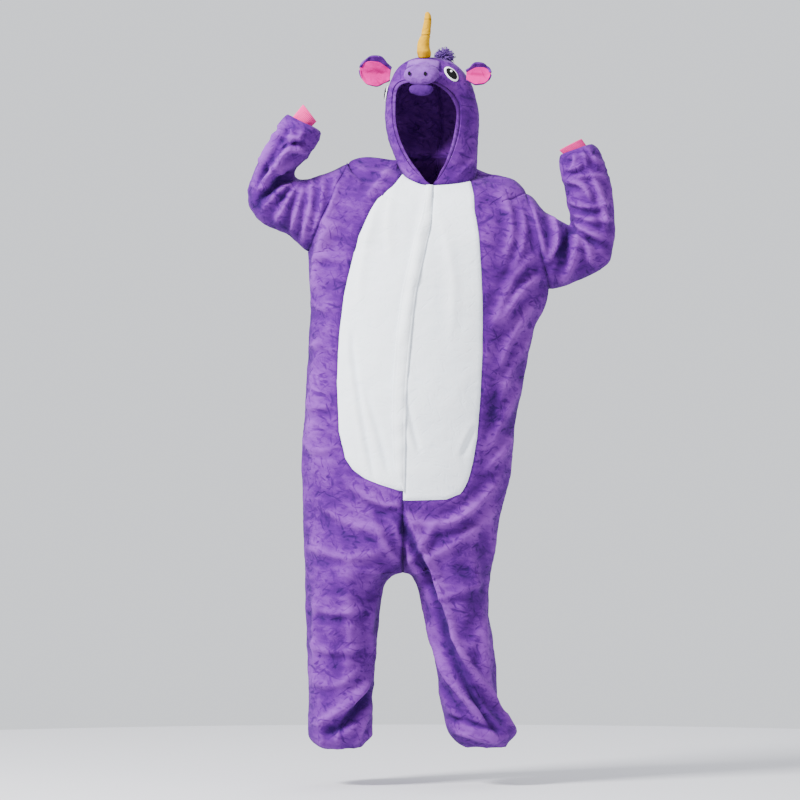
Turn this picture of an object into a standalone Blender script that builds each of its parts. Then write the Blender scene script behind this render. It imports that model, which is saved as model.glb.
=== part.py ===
"""Hooded unicorn onesie, held in the pose of its wearer. Metres, +Z up.

+X is to the wearer's left and -Y to the front.

The origin is where the wearer's shoulders carry the garment, midway between the shoulders.
Every cloth piece is a wall: a grid of points on its outer face, and a second grid one wall
thickness inside. Tables are in millimetres. Each row is one section of the garment, and the
sections between are worked out from them.
"""

import math

import bpy
import numpy as np

MM = 0.001
SIDES = ("right", "left")  # the wearer's
PLUSH = 2.6  # wall of the plush flannel, nap included
RIB = 2.0  # wall of the ribbed knit cuffs
SEAM_GAP = 0.4  # between two pieces that are sewn together
LAID_GAP = 0.4  # between a panel and what is laid on it

# Head-up placing of the hood: it is turned to the wearer's right.
HEAD_AT = np.array([16.0, 12.0, 0.0])
HEAD_TURN = math.radians(-12.0)
HOOD_SPLIT = 0.5  # share of a hood rib that lies below the widest part of the head


def table(names, *rows):
    """Columns of a table as a dict of arrays, one entry for each section."""
    return dict(zip(names.split(), np.array(rows, float).T))


# The trunk, from the crotch to the neck. mid is the centre front, right and left the side seams.
TRUNK = table(
    "z_mid x_mid z_right x_right z_left x_left front back z_back x_back",
    (-949, -52, -949, -283, -949, 156, -138, 140, -949, -52),  # crotch
    (-829, -52, -829, -288, -835, 175, -150, 152, -829, -52),  # top of the rise
    (-700, -51, -700, -291, -712, 203, -158, 150, -695, -50),  # hip
    (-560, -50, -560, -284, -590, 215, -158, 142, -548, -44),  # waist
    (-420, -40, -420, -276, -475, 238, -152, 138, -400, -28),
    (-300, -27, -300, -271, -375, 258, -146, 135, -265, -6),  # chest
    (-200, -5, -194, -277, -283, 293, -136, 130, -145, 12),  # armpit
    (-110, 13, 17, -182, -54, 238, -116, 112, -48, 24),  # shoulder tip
    (-38, 16, 20, -64, -12, 122, -84, 74, 36, 30),  # neck
)
ARMPIT, TIP, NECK = 6, 7, 8
SHOULDER_ARCH = 15.0  # how far the shoulder seam bows up between tip and neck
ARMHOLE_FLATTENS = math.radians(42.0)  # how far short of a quarter turn the section stops at the sleeve

# The legs, from the crotch down to the hem, where the cloth turns in and up to the ankle cuff.
LEGS = {
    "right": table(
        "z inner outer front back",
        (-949, -52, -283, -138, 140),
        (-953, -70, -283, -137.5, 139.5),
        (-966, -87, -283, -136, 138),
        (-992, -100, -283, -133, 135),
        (-1035, -106, -282, -127, 130),
        (-1105, -113, -281, -116, 120),
        (-1180, -118, -277, -106, 112),
        (-1250, -123, -275, -100, 108),
        (-1300, -124, -276, -98, 108),
        (-1330, -123, -277, -93, 102),
        (-1352, -140, -263, -76, 84),
        (-1362, -152, -238, -54, 58),
        (-1352, -154, -228, -42, 45),
        (-1330, -154, -227, -40, 43),
        (-1308, -154, -227, -39, 42),
    ),
    "left": table(
        "z inner outer front back",
        (-949, -52, 156, -138, 140),
        (-953, -38, 155, -137.5, 139.5),
        (-966, -27, 153, -136, 138),
        (-992, -15, 149, -133, 135),
        (-1035, -5, 148, -127, 130),
        (-1105, 11, 160, -116, 120),
        (-1180, 26, 168, -106, 112),
        (-1250, 36, 171, -100, 108),
        (-1295, 46, 201, -98, 108),
        (-1326, 53, 217, -93, 102),
        (-1351, 76, 198, -76, 84),
        (-1362, 98, 191, -54, 58),
        (-1352, 108, 182, -42, 45),
        (-1330, 108, 181, -40, 43),
        (-1308, 108, 181, -39, 42),
    ),
}
HEM = 14
TURNS_IN = 11.4  # the section below which the cloth is on its way in to the cuff

# The sleeves, from the armhole over the bent elbow to the wrist, where the cloth turns in to the cuff.
# top and low are the two sides of a section.
SLEEVES = {
    "right": table(
        "x_top z_top x_low z_low y depth",
        (-182, 17, -277, -194, 0, 92),
        (-210, 2, -300, -175, -2, 88),
        (-248, -14, -328, -151, -6, 80),
        (-278, -21, -361, -137, -12, 73),
        (-297, -20, -396, -111, -18, 67),
        (-304, -14, -419, -80, -23, 63),
        (-305, -7, -420, -54, -27, 60),
        (-302, 2, -409, -24, -31, 59),
        (-293, 12, -396, 9, -35, 58),
        (-279, 26, -382, 37, -39, 57),
        (-266, 46, -368, 64, -43, 56),
        (-252, 66, -350, 88, -47, 54),
        (-246, 84, -338, 115, -50, 50),
        (-262, 96, -323, 128, -52, 38),
        (-275, 90, -317, 122, -53, 28),
        (-283, 81, -321, 113, -52, 27),
    ),
    "left": table(
        "x_top z_top x_low z_low y depth",
        (238, -54, 293, -283, 0, 92),
        (265, -76, 321, -278, -2, 88),
        (284, -101, 346, -269, -6, 80),
        (308, -116, 379, -255, -12, 73),
        (329, -126, 413, -238, -18, 67),
        (339, -131, 436, -218, -23, 63),
        (342, -122, 444, -177, -27, 60),
        (340, -103, 446, -130, -31, 59),
        (334, -78, 442, -76, -35, 58),
        (328, -52, 437, -35, -39, 57),
        (321, -22, 428, -2, -43, 56),
        (318, 0, 418, 24, -47, 54),
        (315, 20, 407, 46, -50, 50),
        (320, 34, 392, 59, -52, 38),
        (326, 32, 382, 56, -53, 29),
        (333, 25, 387, 47, -52, 28),
    ),
}
CUFF_SEAM = 15
CUFF_SLACK = 2.2  # how much narrower a cuff is than the turned-in cloth round it
WRISTS = {  # the free edge of each wrist cuff
    "right": dict(x_top=-254, z_top=110, x_low=-288, z_low=153, y=-58, depth=27),
    "left": dict(x_top=314, z_top=43, x_low=369, z_low=72, y=-58, depth=27),
}
ANKLE_END = -1357.0
CUFF_SHARES = (0, 0.35, 0.7, 1)  # where the rings of a cuff lie, from its seam to its free edge

# Where the white belly ends and the purple front begins, by trunk section.
BELLY = {
    "right": table(
        "row x",
        (1.56, -51),
        (1.62, -75),
        (1.70, -108),
        (1.80, -142),
        (1.95, -170),
        (2.15, -188),
        (2.6, -203),
        (3.4, -208),
        (4.2, -203),
        (5.0, -192),
        (5.5, -181),
        (6.0, -168),
        (6.3, -157),
        (6.5, -138),
        (6.7, -118),
        (6.85, -105),
        (7.0, -99),
        (7.4, -79),
        (8.0, -54),
    ),
    "left": table(
        "row x",
        (1.40, -51),
        (1.45, 50),
        (1.56, 83),
        (1.62, 89),
        (1.70, 95),
        (1.80, 101),
        (1.95, 107),
        (2.15, 113),
        (2.6, 123),
        (3.4, 131),
        (4.2, 135),
        (5.0, 136),
        (6.0, 132),
        (6.3, 129),
        (6.5, 126),
        (6.7, 121),
        (6.85, 117),
        (7.0, 116),
        (7.4, 115),
        (8.0, 108),
    ),
}
NECK_WHITE = 0.66  # share of the half neckline that is white
# How far the front band reaches over each belly half, as shares of the half's first column.
PLACKET_RIGHT = (0.66, 0.33, 0.0)
PLACKET_LEFT = 0.12
PLACKET_GAP = 1.3  # between the front band and the halves under it

# Ribs of the hood, from the centre back (0) past the shoulder (1) to the face (2). The lower the
# last two columns are, the fuller the crown is on that side.
RIBS = table(
    "turn z_wide y_crown z_crown right left",
    (0, 112, 96, 196, 1.0, 1.0),
    (36, 114, 62, 250, 0.92, 0.96),
    (70, 118, 14, 267, 0.84, 0.94),
    (102, 122, -58, 264, 0.78, 0.86),
    (131, 130, -106, 211, 0.46, 1.02),
)
CROWN_LEAN = -6.0  # the crown seam sits a little to the wearer's right
HEAD_HALF_WIDTH = 111.0
HEAD_BACK, HEAD_FRONT = 120.0, 98.0
FACE = 2.0
CROWN = 1.0
BAND_WIDTH = 11.0  # the strip turned in round the face
BAND_WIDENS = 0.14  # how far up the face edge it has its whole width

# Stuffed pieces, as ovals from the hood forwards: top and bottom of each in the upright middle plane
# of the head (y is forwards-negative), and its half width.
BASE_GAP = 1.8
MUZZLE_BASE = (1.88, 0.065, 36.0)  # middle and half size along the crown seam, and half size across it
MUZZLE = table(
    "y_top z_top y_low z_low half",
    (-103, 242, -114, 206, 40),
    (-113, 244, -119, 197, 42),
    (-126, 240, -128, 194, 40),
    (-136, 232, -137, 199, 33),
    (-141, 222, -141, 208, 18),
    (-142, 217, -142, 214, 5),
)
JAW = table(
    "y_top z_top y_low z_low half",
    (-110, 187, -110, 184, 10),
    (-113, 190, -113, 177, 25),
    (-121, 191.5, -120, 173, 29),
    (-129, 190, -128, 176, 24),
    (-133, 187, -133, 181, 12),
    (-134, 185, -134, 183.5, 4),
)
BRIDGE_FROM, BRIDGE_TO, BRIDGE_HALF = 1.635, 1.81, 37.0
BRIDGE_RISE = (3.0, 14.0)  # at the horn and at the muzzle
NOSTRILS = {"right": (-24, 221), "left": (14, 220)}  # x and z on the front of the muzzle
NOSTRIL_SIZE = (3.8, 5.2)
NOSTRIL_FRONT = -142.6

HORN_AT = 1.525  # along the crown seam
HORN_BASE = (0.085, 15.0)  # half size along the seam and across it
HORN = table(
    "x y z radius",
    (-6, -62, 276, 16.3),
    (-7, -62, 290, 15.0),
    (-5, -63, 304, 13.0),
    (-2.5, -64, 312, 11.9),
    (-2, -64, 314.5, 10.6),
    (-1.5, -64, 317, 11.4),
    (2, -65, 336, 9.9),
    (4, -66, 352, 8.6),
    (4, -66, 361, 7.0),
    (3, -66, 367, 4.4),
    (3, -66, 369.5, 1.5),
)

EYE_TILT = math.radians(-52)
EYE_SIZES = {"eye_white": (21.0, 14.0), "eye_black": (16.5, 10.5), "eye_light": (2.8, 2.6)}
EYE_THICK = 1.2
EYE_STANDS_OFF = 2.4
EYE_BEND = 105.0  # radius of the hood under an eye
EYES = {"right": (1.58, 0.60), "left": (1.75, 0.80)}  # the right one is on the side turned away

# Ears: where on the hood they start, which way they point, which way is up on them, length, half height.
EARS = {
    "right": dict(at=(1.50, 0.725), axis=(-1.0, -0.20, 0.16), up=(0.16, 0.10, 1.0), long=73, half=35),
    "left": dict(at=(1.52, 0.72), axis=(1.0, -0.25, 0.06), up=(-0.10, 0.15, 1.0), long=58, half=25),
}
EAR_OUTLINE = table(
    "along half",
    (0, 0.42),
    (0.2, 0.72),
    (0.45, 1.0),
    (0.7, 0.96),
    (0.88, 0.66),
    (0.97, 0.34),
    (1, 0.12),
)
EAR_STANDS_OFF = 6.0
EAR_CUP = 15.0  # how far the edges of an ear come forward

# Tufts of the mane, from behind the horn down the back of the hood: where each stands on the left half
# of the hood (s, t) and its radius.
TUFTS = table(
    "s t radius",
    (0.50, 0.93, 18),
    (0.26, 0.90, 14),
    (0.03, 0.84, 14),
    (0.03, 0.68, 14),
    (0.03, 0.53, 14),
    (0.03, 0.38, 13),
)
TUFT_STANDS_OFF = 1.5

# Each fold is a soft ridge (or, with a negative rise, a trough) along a short line in the front view.
# face is -1 on the front and 1 on the back.
FOLDS = table(
    "face x_from z_from x_to z_to reach rise",
    (-1, 8, -905, 35, -1034, 34, 11),
    (-1, 35, -1034, 113, -1178, 30, 13),
    (-1, 113, -1178, 200, -1300, 28, 13),
    (-1, -15, -985, 26, -1140, 26, 9),
    (-1, 26, -1140, 115, -1275, 26, 10),
    (-1, -250, -1305, -123, -1185, 26, 12),
    (-1, -225, -1225, -190, -1120, 26, -6),
    (-1, -172, -400, -128, -700, 30, -7),
    (-1, -60, -560, -35, -720, 26, -5),
    (-1, 122, -640, 70, -730, 24, 6),
    (-1, -215, -240, -235, -520, 30, 6),
    (-1, 215, -300, 190, -520, 30, 7),
    (-1, 160, -560, 150, -860, 32, 6),
    (-1, -250, -560, -255, -860, 32, 6),
    (1, -90, -560, -150, -830, 34, 9),
    (1, 40, -560, 90, -840, 34, 9),
    (1, -40, -180, -36, -480, 34, -8),
    (1, 110, -200, 150, -460, 32, 7),
    (1, -160, -200, -190, -460, 32, 7),
    (1, -240, -1300, -140, -1200, 28, 12),
    (1, 190, -1290, 70, -1190, 28, 12),
    (1, -200, -1150, -215, -960, 30, 7),
    (1, 90, -1120, 60, -960, 30, 7),
)


def slopes(values):
    """Slopes of a smooth curve through the sections, which never overshoots them."""
    step = np.diff(values)
    before, after = step[:-1], step[1:]
    inner = np.where(before * after > 0, 2 * before * after / (before + after + 1e-12), 0)
    return np.concatenate([step[:1], inner, step[-1:]])


def along(columns, row):
    """Each column read at a fractional section number."""
    row = np.asarray(row, float)
    count = len(next(iter(columns.values())))
    below = np.clip(np.floor(row).astype(int), 0, count - 2)
    f = row - below
    found = {}
    for name, values in columns.items():
        m = slopes(values)
        found[name] = (
            values[below] * (1 + 2 * f) * (1 - f) ** 2
            + m[below] * f * (1 - f) ** 2
            + values[below + 1] * f * f * (3 - 2 * f)
            + m[below + 1] * f * f * (f - 1)
        )
    return found


def leg(side, face, row, s):
    """A point of a leg. s runs from the inseam (0) over the front or back to the side seam (1)."""
    c = along(LEGS[side], row)
    middle = (c["inner"] + c["outer"]) / 2
    turn = np.pi * s
    x = middle + (c["inner"] - middle) * np.cos(turn)
    return np.stack([x, c[face] * np.sin(turn), c["z"] + 0 * s], -1)


def armhole_turn(row):
    """Where a trunk row meets the armhole: -90 degrees at the armpit, 90 at the shoulder tip."""
    return np.pi * (np.clip(row, ARMPIT, TIP) - ARMPIT - 0.5)


def tube_point(c, turn):
    """A point of a sleeve section. turn is -90 degrees underneath, 0 at the front and 90 on top."""
    lift = np.sin(turn)
    return np.stack(
        [
            (c["x_top"] + c["x_low"]) / 2 + (c["x_top"] - c["x_low"]) / 2 * lift,
            c["y"] - c["depth"] * np.cos(turn),
            (c["z_top"] + c["z_low"]) / 2 + (c["z_top"] - c["z_low"]) / 2 * lift,
        ],
        -1,
    )


def trunk_ends(side, face, row):
    """The two ends of a trunk section, at the centre seam and at the outer one, and its last angle."""
    c = along(TRUNK, np.where(row < 1, 1 - np.cos(np.pi / 2 * np.clip(row, 0, 1)), row))
    first = {name: values[0] for name, values in SLEEVES[side].items()}
    turn = armhole_turn(row)
    arm = tube_point(first, turn if face == "front" else np.pi - turn)
    on_arm = (row > ARMPIT) & (row < TIP)
    past_tip = np.clip(row - TIP, 0, 1)
    arch = SHOULDER_ARCH * np.sin(np.pi * past_tip**0.7)
    seam = np.stack([c["x_" + side], 0 * row, c["z_" + side] + arch], -1)
    outer = np.where(on_arm[..., None], arm, seam)
    names = ("x_mid", "front", "z_mid") if face == "front" else ("x_back", "back", "z_back")
    centre = np.stack([c[name] for name in names], -1)
    end = np.pi / 2 - ARMHOLE_FLATTENS * np.where(on_arm, np.cos(turn), 0)
    return centre, outer, end


def trunk(side, face, row, s):
    """A point of the trunk. s runs from the centre seam (0) to the side seam or armhole (1)."""
    row, s = np.broadcast_arrays(np.asarray(row, float), np.asarray(s, float))
    centre, outer, end = trunk_ends(side, face, row)
    # In the rise the section is an ellipse that slides outwards until it is a whole leg.
    slide = np.cos(np.pi / 2 * np.clip(row, 0, 1))
    middle = (centre[..., 0] + slide * outer[..., 0]) / (1 + slide)
    turn = np.arccos(slide) + (np.pi - np.arccos(slide)) * s
    rise_x = middle + (middle - outer[..., 0]) * np.cos(turn)
    rise_y = centre[..., 1] * np.sin(turn)
    # Above it a section is a quarter ellipse, cut short where a sleeve carries it on.
    reach = np.sin(s * end) / np.sin(end)
    back = (1 - np.cos(s * end)) / (1 - np.cos(end))
    x = np.where(row < 1, rise_x, centre[..., 0] + (outer[..., 0] - centre[..., 0]) * reach)
    y = np.where(row < 1, rise_y, centre[..., 1] + (outer[..., 1] - centre[..., 1]) * back)
    share = (x - centre[..., 0]) / (outer[..., 0] - centre[..., 0])
    share = share + (back - share) * np.clip((row - ARMPIT) / (NECK - ARMPIT), 0, 1)
    z = centre[..., 2] + (outer[..., 2] - centre[..., 2]) * share
    return np.stack([x, y, z], -1)


def body(side, face, row, s):
    """A point of the half body. Negative rows are the leg, rows from 0 to 8 the trunk."""
    row, s = np.broadcast_arrays(np.asarray(row, float), np.asarray(s, float))
    low = leg(side, face, np.maximum(-row, 0), s)
    return np.where((row < 0)[..., None], low, trunk(side, face, np.maximum(row, 0), s))


def belly_share(side, row):
    """How much of the half front is white at a trunk section."""
    t = BELLY[side]
    centre, outer, end = trunk_ends(side, "front", np.asarray(row, float))
    x = np.interp(row, t["row"], t["x"])
    reach = np.clip((x - centre[..., 0]) / (outer[..., 0] - centre[..., 0]), 0, 1)
    share = np.where(row < NECK, np.arcsin(reach * np.sin(end)) / end, NECK_WHITE)
    return share * (row > t["row"][0])


def sleeve(side, row, turn):
    """A point of a sleeve, from its section number and the turn round it."""
    return tube_point(along(SLEEVES[side], row), turn)


def head_place(x, y, z):
    """A point given in the upright axes of the turned head."""
    x, y, z = np.broadcast_arrays(x, y, z)
    cos, sin = math.cos(HEAD_TURN), math.sin(HEAD_TURN)
    return np.stack([x * cos - y * sin, x * sin + y * cos, z], -1) + HEAD_AT


def hood(side, s, t):
    """A point of the half hood. s runs from the centre back (0) to the face (2), t up to the crown."""
    s, t = np.broadcast_arrays(np.asarray(s, float), np.asarray(t, float))
    sign = -1 if side == "right" else 1
    back_neck = body(side, "back", NECK, np.clip(s, 0, 1))
    front_neck = body(side, "front", NECK, np.clip(FACE - s, 0, 1))
    neck = np.where((s <= 1)[..., None], back_neck, front_neck)
    c = along(RIBS, 2 * s)
    turn = np.radians(c["turn"])
    deep = np.where(turn < np.pi / 2, HEAD_BACK, HEAD_FRONT)
    wide = head_place(sign * HEAD_HALF_WIDTH * np.sin(turn), deep * np.cos(turn), c["z_wide"])
    crown = head_place(CROWN_LEAN, c["y_crown"], c["z_crown"])
    # Below the widest part the rib leaves the neck leaning out and ends upright.
    f = np.clip(t / HOOD_SPLIT, 0, 1)[..., None]
    out = 1.2 + 0.5 * (s[..., None] / FACE) ** 4
    lean = (wide - neck) * np.concatenate([out, out, 2.2 - out], -1)
    upright = (wide - neck) * np.array([0, 0, 1.1])
    low = (
        neck * (1 + 2 * f) * (1 - f) ** 2
        + lean * f * (1 - f) ** 2
        + wide * f * f * (3 - 2 * f)
        + upright * f * f * (f - 1)
    )
    # Above it the rib is a full quarter ellipse that ends level at the centre seam.
    up = np.pi / 2 * np.clip((t - HOOD_SPLIT) / (1 - HOOD_SPLIT), 0, 1)[..., None]
    upward = np.array([0, 0, 1])
    square = c[side][..., None]
    across = 1 - np.abs(np.cos(up)) ** square
    high = wide + (crown - wide) * (across * (1 - upward) + np.sin(up) ** square * upward)
    return np.where((t < HOOD_SPLIT)[..., None], low, high)


def folded(points, normals, rows):
    """The points moved along their normals by every fold near them, except where the hem turns in."""
    moved = np.zeros(points.shape[:-1])
    for k in range(len(FOLDS["rise"])):
        f = {name: values[k] for name, values in FOLDS.items()}
        start, end = np.array([f["x_from"], f["z_from"]]), np.array([f["x_to"], f["z_to"]])
        run = end - start
        place = points[..., [0, 2]] - start
        share = np.clip((place @ run) / (run @ run), 0, 1)
        away = np.linalg.norm(place - share[..., None] * run, axis=-1)
        facing = np.clip(1.6 * normals[..., 1] * f["face"], 0, 1)
        moved += f["rise"] * np.exp(-((away / f["reach"]) ** 2)) * facing
    moved *= np.clip((rows + TURNS_IN) / 2, 0, 1)[:, None]
    return points + normals * moved[..., None]


# ---- walls ----------------------------------------------------------------------------------------


class Panel:
    """A grid of points on the outer face of one cut piece, before it is given its thickness."""

    def __init__(self, name, points, colour, wall=PLUSH, ring=False, flip=False, rows=None):
        self.name, self.points, self.colour = name, points, colour
        self.wall, self.ring, self.flip = wall, ring, flip
        self.rows = np.zeros(len(points)) if rows is None else rows

    def cells(self):
        """The four corners of each cell, in order, as indices into the flat grid."""
        rows, columns = self.points.shape[:2]
        index = np.arange(rows * columns).reshape(rows, columns)
        if self.ring:
            index = np.concatenate([index, index[:, :1]], 1)
        cells = np.stack([index[:-1, :-1], index[:-1, 1:], index[1:, 1:], index[1:, :-1]], -1)
        cells = cells.reshape(-1, 4)
        return cells[:, ::-1] if self.flip else cells


def shared_normals(panels):
    """Normals of the whole garment, so that both pieces at a seam turn their thickness the same way."""
    points = np.concatenate([p.points.reshape(-1, 3) for p in panels])
    merged = np.unique(np.round(points, 2), axis=0, return_inverse=True)[1].reshape(-1)
    total = np.zeros((merged.max() + 1, 3))
    start = 0
    for p in panels:
        cells = p.cells()
        a, b, c, d = (p.points.reshape(-1, 3)[cells[:, k]] for k in range(4))
        for k in range(4):
            np.add.at(total, merged[start + cells[:, k]], np.cross(c - a, d - b))
        start += p.points[..., 0].size
    total /= np.maximum(np.linalg.norm(total, axis=1, keepdims=True), 1e-9)
    found, start = [], 0
    for p in panels:
        count = p.points[..., 0].size
        found.append(total[merged[start : start + count]].reshape(p.points.shape))
        start += count
    return found


def inward(line, inside, normals):
    """Unit steps from an edge of a grid into it, square to the edge and along the cloth."""
    step = np.cross(normals, np.gradient(line, axis=0))
    step /= np.maximum(np.linalg.norm(step, axis=-1, keepdims=True), 1e-9)
    return step * np.where(np.sum(step * (inside - line), -1, keepdims=True) < 0, -1, 1)


def drawn_back(points, normals, ring):
    """The grid with each open edge moved half a seam gap into its own piece."""
    moved = points.copy()
    for edge, inside in ((0, 1), (-1, -2)):
        moved[edge] += inward(points[edge], points[inside], normals[edge]) * SEAM_GAP / 2
        if not ring:
            side = inward(points[:, edge], points[:, inside], normals[:, edge])
            moved[:, edge] += side * SEAM_GAP / 2
    return moved


def add_object(name, points, faces, colour):
    """One closed solid, from points in millimetres."""
    mesh = bpy.data.meshes.new(name)
    mesh.from_pydata((np.asarray(points) * MM).tolist(), [], [tuple(map(int, f)) for f in faces])
    mesh.update()
    made = bpy.data.objects.new(name, mesh)
    bpy.context.scene.collection.objects.link(made)
    mesh.materials.append(material(colour))
    mesh.shade_smooth()
    mesh.set_sharp_from_angle(angle=math.radians(40))
    return made


def add_wall(panel, normals, lift=0.0):
    """Gives a panel its thickness: the outer grid, the inner grid and the cut edges between them."""
    outer = drawn_back(panel.points, normals, panel.ring) + normals * lift
    inner = outer - normals * panel.wall
    rows, columns = outer.shape[:2]
    count = rows * columns
    cells = panel.cells()
    faces = [tuple(c) for c in cells] + [tuple(count + c[::-1]) for c in cells]
    index = np.arange(count).reshape(rows, columns)
    if panel.ring:
        edges = [np.append(index[0], index[0, 0]), np.append(index[-1, ::-1], index[-1, -1])]
    else:
        edges = [np.concatenate([index[0], index[1:, -1], index[-1, -2::-1], index[-2::-1, 0]])]
    points = np.concatenate([outer.reshape(-1, 3), inner.reshape(-1, 3)])
    for line in edges:
        line = line[::-1] if panel.flip else line
        for a, b in zip(line[:-1], line[1:]):
            # Both pieces at a seam split their cut edges along the same diagonals.
            if tuple(points[a]) < tuple(points[b]):
                faces += [(b, a, a + count), (b, a + count, b + count)]
            else:
                faces += [(b, a, b + count), (a, a + count, b + count)]
    return add_object(panel.name, points, faces, panel.colour)


def add_rings(name, rings, colour):
    """A closed solid through rings of points, in order, with a flat cap on each end."""
    rings = np.asarray(rings, float)
    rows, columns = rings.shape[:2]
    index = np.arange(rows * columns).reshape(rows, columns)
    index = np.concatenate([index, index[:, :1]], 1)
    cells = np.stack([index[1:, :-1], index[1:, 1:], index[:-1, 1:], index[:-1, :-1]], -1)
    faces = [tuple(c) for c in cells.reshape(-1, 4)]
    faces += [tuple(index[0, :-1]), tuple(index[-1, -2::-1])]
    return add_object(name, rings.reshape(-1, 3), faces, colour)


COLOURS = {  # colour, roughness
    "purple_plush": ((0.16, 0.045, 0.36, 1), 0.9),
    "lilac_plush": ((0.36, 0.19, 0.60, 1), 0.9),
    "white_plush": ((0.83, 0.86, 0.95, 1), 0.9),
    "pink_plush": ((0.86, 0.09, 0.34, 1), 0.9),
    "pink_rib": ((0.80, 0.16, 0.40, 1), 0.85),
    "gold_plush": ((0.84, 0.49, 0.02, 1), 0.85),
    "black_felt": ((0.01, 0.01, 0.012, 1), 0.9),
    "white_felt": ((0.85, 0.85, 0.85, 1), 0.9),
    "mane_pile": ((0.10, 0.035, 0.22, 1), 0.95),
}


def material(name):
    """The Principled material of one finish, made once."""
    found = bpy.data.materials.get(name)
    if found is None:
        found = bpy.data.materials.new(name)
        found.use_nodes = True
        colour, roughness = COLOURS[name]
        shader = found.node_tree.nodes["Principled BSDF"]
        shader.inputs["Base Color"].default_value = colour
        shader.inputs["Roughness"].default_value = roughness
        shader.inputs["Metallic"].default_value = 0.0
    return found


# ---- the cut pieces ---------------------------------------------------------------------------------

LEG_ROWS = -np.array([14, 13, 12, 11.3, 10.6, 9.9, 9.2, 8.2, 7.2, 6.2, 5.2, 4.2, 3.2, 2.2, 1.1])
RISE_ROWS = np.array([0, 0.25, 0.5, 0.75, 1.0, 1.22])
BELLY_ROWS = BELLY["left"]["row"][:9]
MIDDLE_ROWS = np.array([3.1, 3.7, 4.3, 4.9, 5.45])
ARMHOLE_ROWS = ARMPIT + np.array([0, 0.15, 0.32, 0.5, 0.68, 0.85, 1.0])
SHOULDER_ROWS = np.array([7.35, 7.7, 8.0])
BODY_ROWS = np.concatenate(
    [LEG_ROWS, RISE_ROWS, BELLY_ROWS, MIDDLE_ROWS, ARMHOLE_ROWS, SHOULDER_ROWS]
)
COLUMNS = 7
BELLY_COLUMNS = 5


def body_panels(side):
    """The back, the purple front with its leg, and the white belly half beside it."""
    rows = BODY_ROWS[:, None]
    share = belly_share(side, rows)
    across = np.linspace(0, 1, COLUMNS)[None, :]
    white_rows = rows[rows[:, 0] > BELLY[side]["row"][0]]
    white_share = belly_share(side, white_rows)
    white_across = np.linspace(0, 1, BELLY_COLUMNS)[None, :]
    return [
        Panel(
            "back_" + side,
            body(side, "back", rows, across),
            "purple_plush",
            flip=side == "left",
            rows=BODY_ROWS,
        ),
        Panel(
            "front_" + side,
            body(side, "front", rows, share + (1 - share) * across),
            "purple_plush",
            flip=side == "right",
            rows=BODY_ROWS,
        ),
        Panel(
            "belly_" + side,
            body(side, "front", white_rows, white_share * white_across),
            "white_plush",
            flip=side == "right",
        ),
    ]


def sleeve_turns():
    """The turns of a sleeve's columns, which meet the trunk's rows at the armhole."""
    front = armhole_turn(ARMHOLE_ROWS)
    return np.concatenate([front, np.pi - front[-2:0:-1]])


def sleeve_panel(side):
    rows = np.arange(CUFF_SEAM + 1)[:, None]
    points = sleeve(side, rows, sleeve_turns()[None, :])
    return Panel("sleeve_" + side, points, "purple_plush", ring=True, flip=side == "left")


# The hood's ribs start at the columns of the back, the purple front and the white front.
HOOD_COLUMNS = np.concatenate(
    [
        np.linspace(0, 1, COLUMNS),
        FACE - np.linspace(1, NECK_WHITE, COLUMNS)[1:],
        FACE - np.linspace(NECK_WHITE, 0, BELLY_COLUMNS)[1:],
    ]
)
HOOD_ROWS = np.array([0, 0.06, 0.14, 0.26, 0.4, 0.55, 0.7, 0.85, 1.0])


def hood_panel(side):
    return Panel(
        "hood_" + side,
        hood(side, HOOD_COLUMNS[None, :], HOOD_ROWS[:, None]),
        "purple_plush",
        flip=side == "left",
    )


def band_panel(side):
    """The strip turned in round the face, from the hood's edge on."""
    t = HOOD_ROWS[1:]
    edge = hood(side, FACE, t)
    onward = edge - hood(side, FACE - 0.03, t)
    onward /= np.linalg.norm(onward, axis=-1, keepdims=True)
    centre = head_place(0.0, 0.0, edge[:, 2])
    inwards = centre - edge
    inwards /= np.linalg.norm(inwards, axis=-1, keepdims=True)
    inwards[-1] = (0, 0, -1)
    width = BAND_WIDTH * np.minimum(1, t / BAND_WIDENS)[:, None]
    turned = edge + onward * width * 0.85 + inwards * width / 2
    points = np.stack([edge, edge + onward * width / 2, turned], 1)
    return Panel("hood_band_" + side, points, "lilac_plush", flip=side == "left")


def placket_panel(points):
    """The front band, worked out from the first cell of both belly halves so that it lies flat on them."""
    count = np.sum(BODY_ROWS > BELLY["right"]["row"][0])
    right, left = points["belly_right"][-count:], points["belly_left"][-count:]
    columns = [right[:, 0] + (right[:, 1] - right[:, 0]) * reach for reach in PLACKET_RIGHT]
    columns.append(left[:, 0] + (left[:, 1] - left[:, 0]) * PLACKET_LEFT)
    return Panel("placket", np.stack(columns, 1), "white_plush")


def narrowed(ring, middle):
    """A cuff's ring: the cloth's own ring, drawn in by the cuff's slack."""
    out = ring - middle
    far = np.linalg.norm(out, axis=-1, keepdims=True)
    return middle + out * (far - CUFF_SLACK) / far


def wrist_panel(side):
    seam = {name: values[CUFF_SEAM] for name, values in SLEEVES[side].items()}
    end = WRISTS[side]
    rings = []
    for share in CUFF_SHARES:
        c = {name: seam[name] + (end[name] - seam[name]) * share for name in end}
        middle = np.array([(c["x_top"] + c["x_low"]) / 2, c["y"], (c["z_top"] + c["z_low"]) / 2])
        rings.append(narrowed(tube_point(c, sleeve_turns()), middle))
    name = "wrist_cuff_" + side
    return Panel(name, np.stack(rings), "pink_rib", RIB, ring=True, flip=side == "left")


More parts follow.
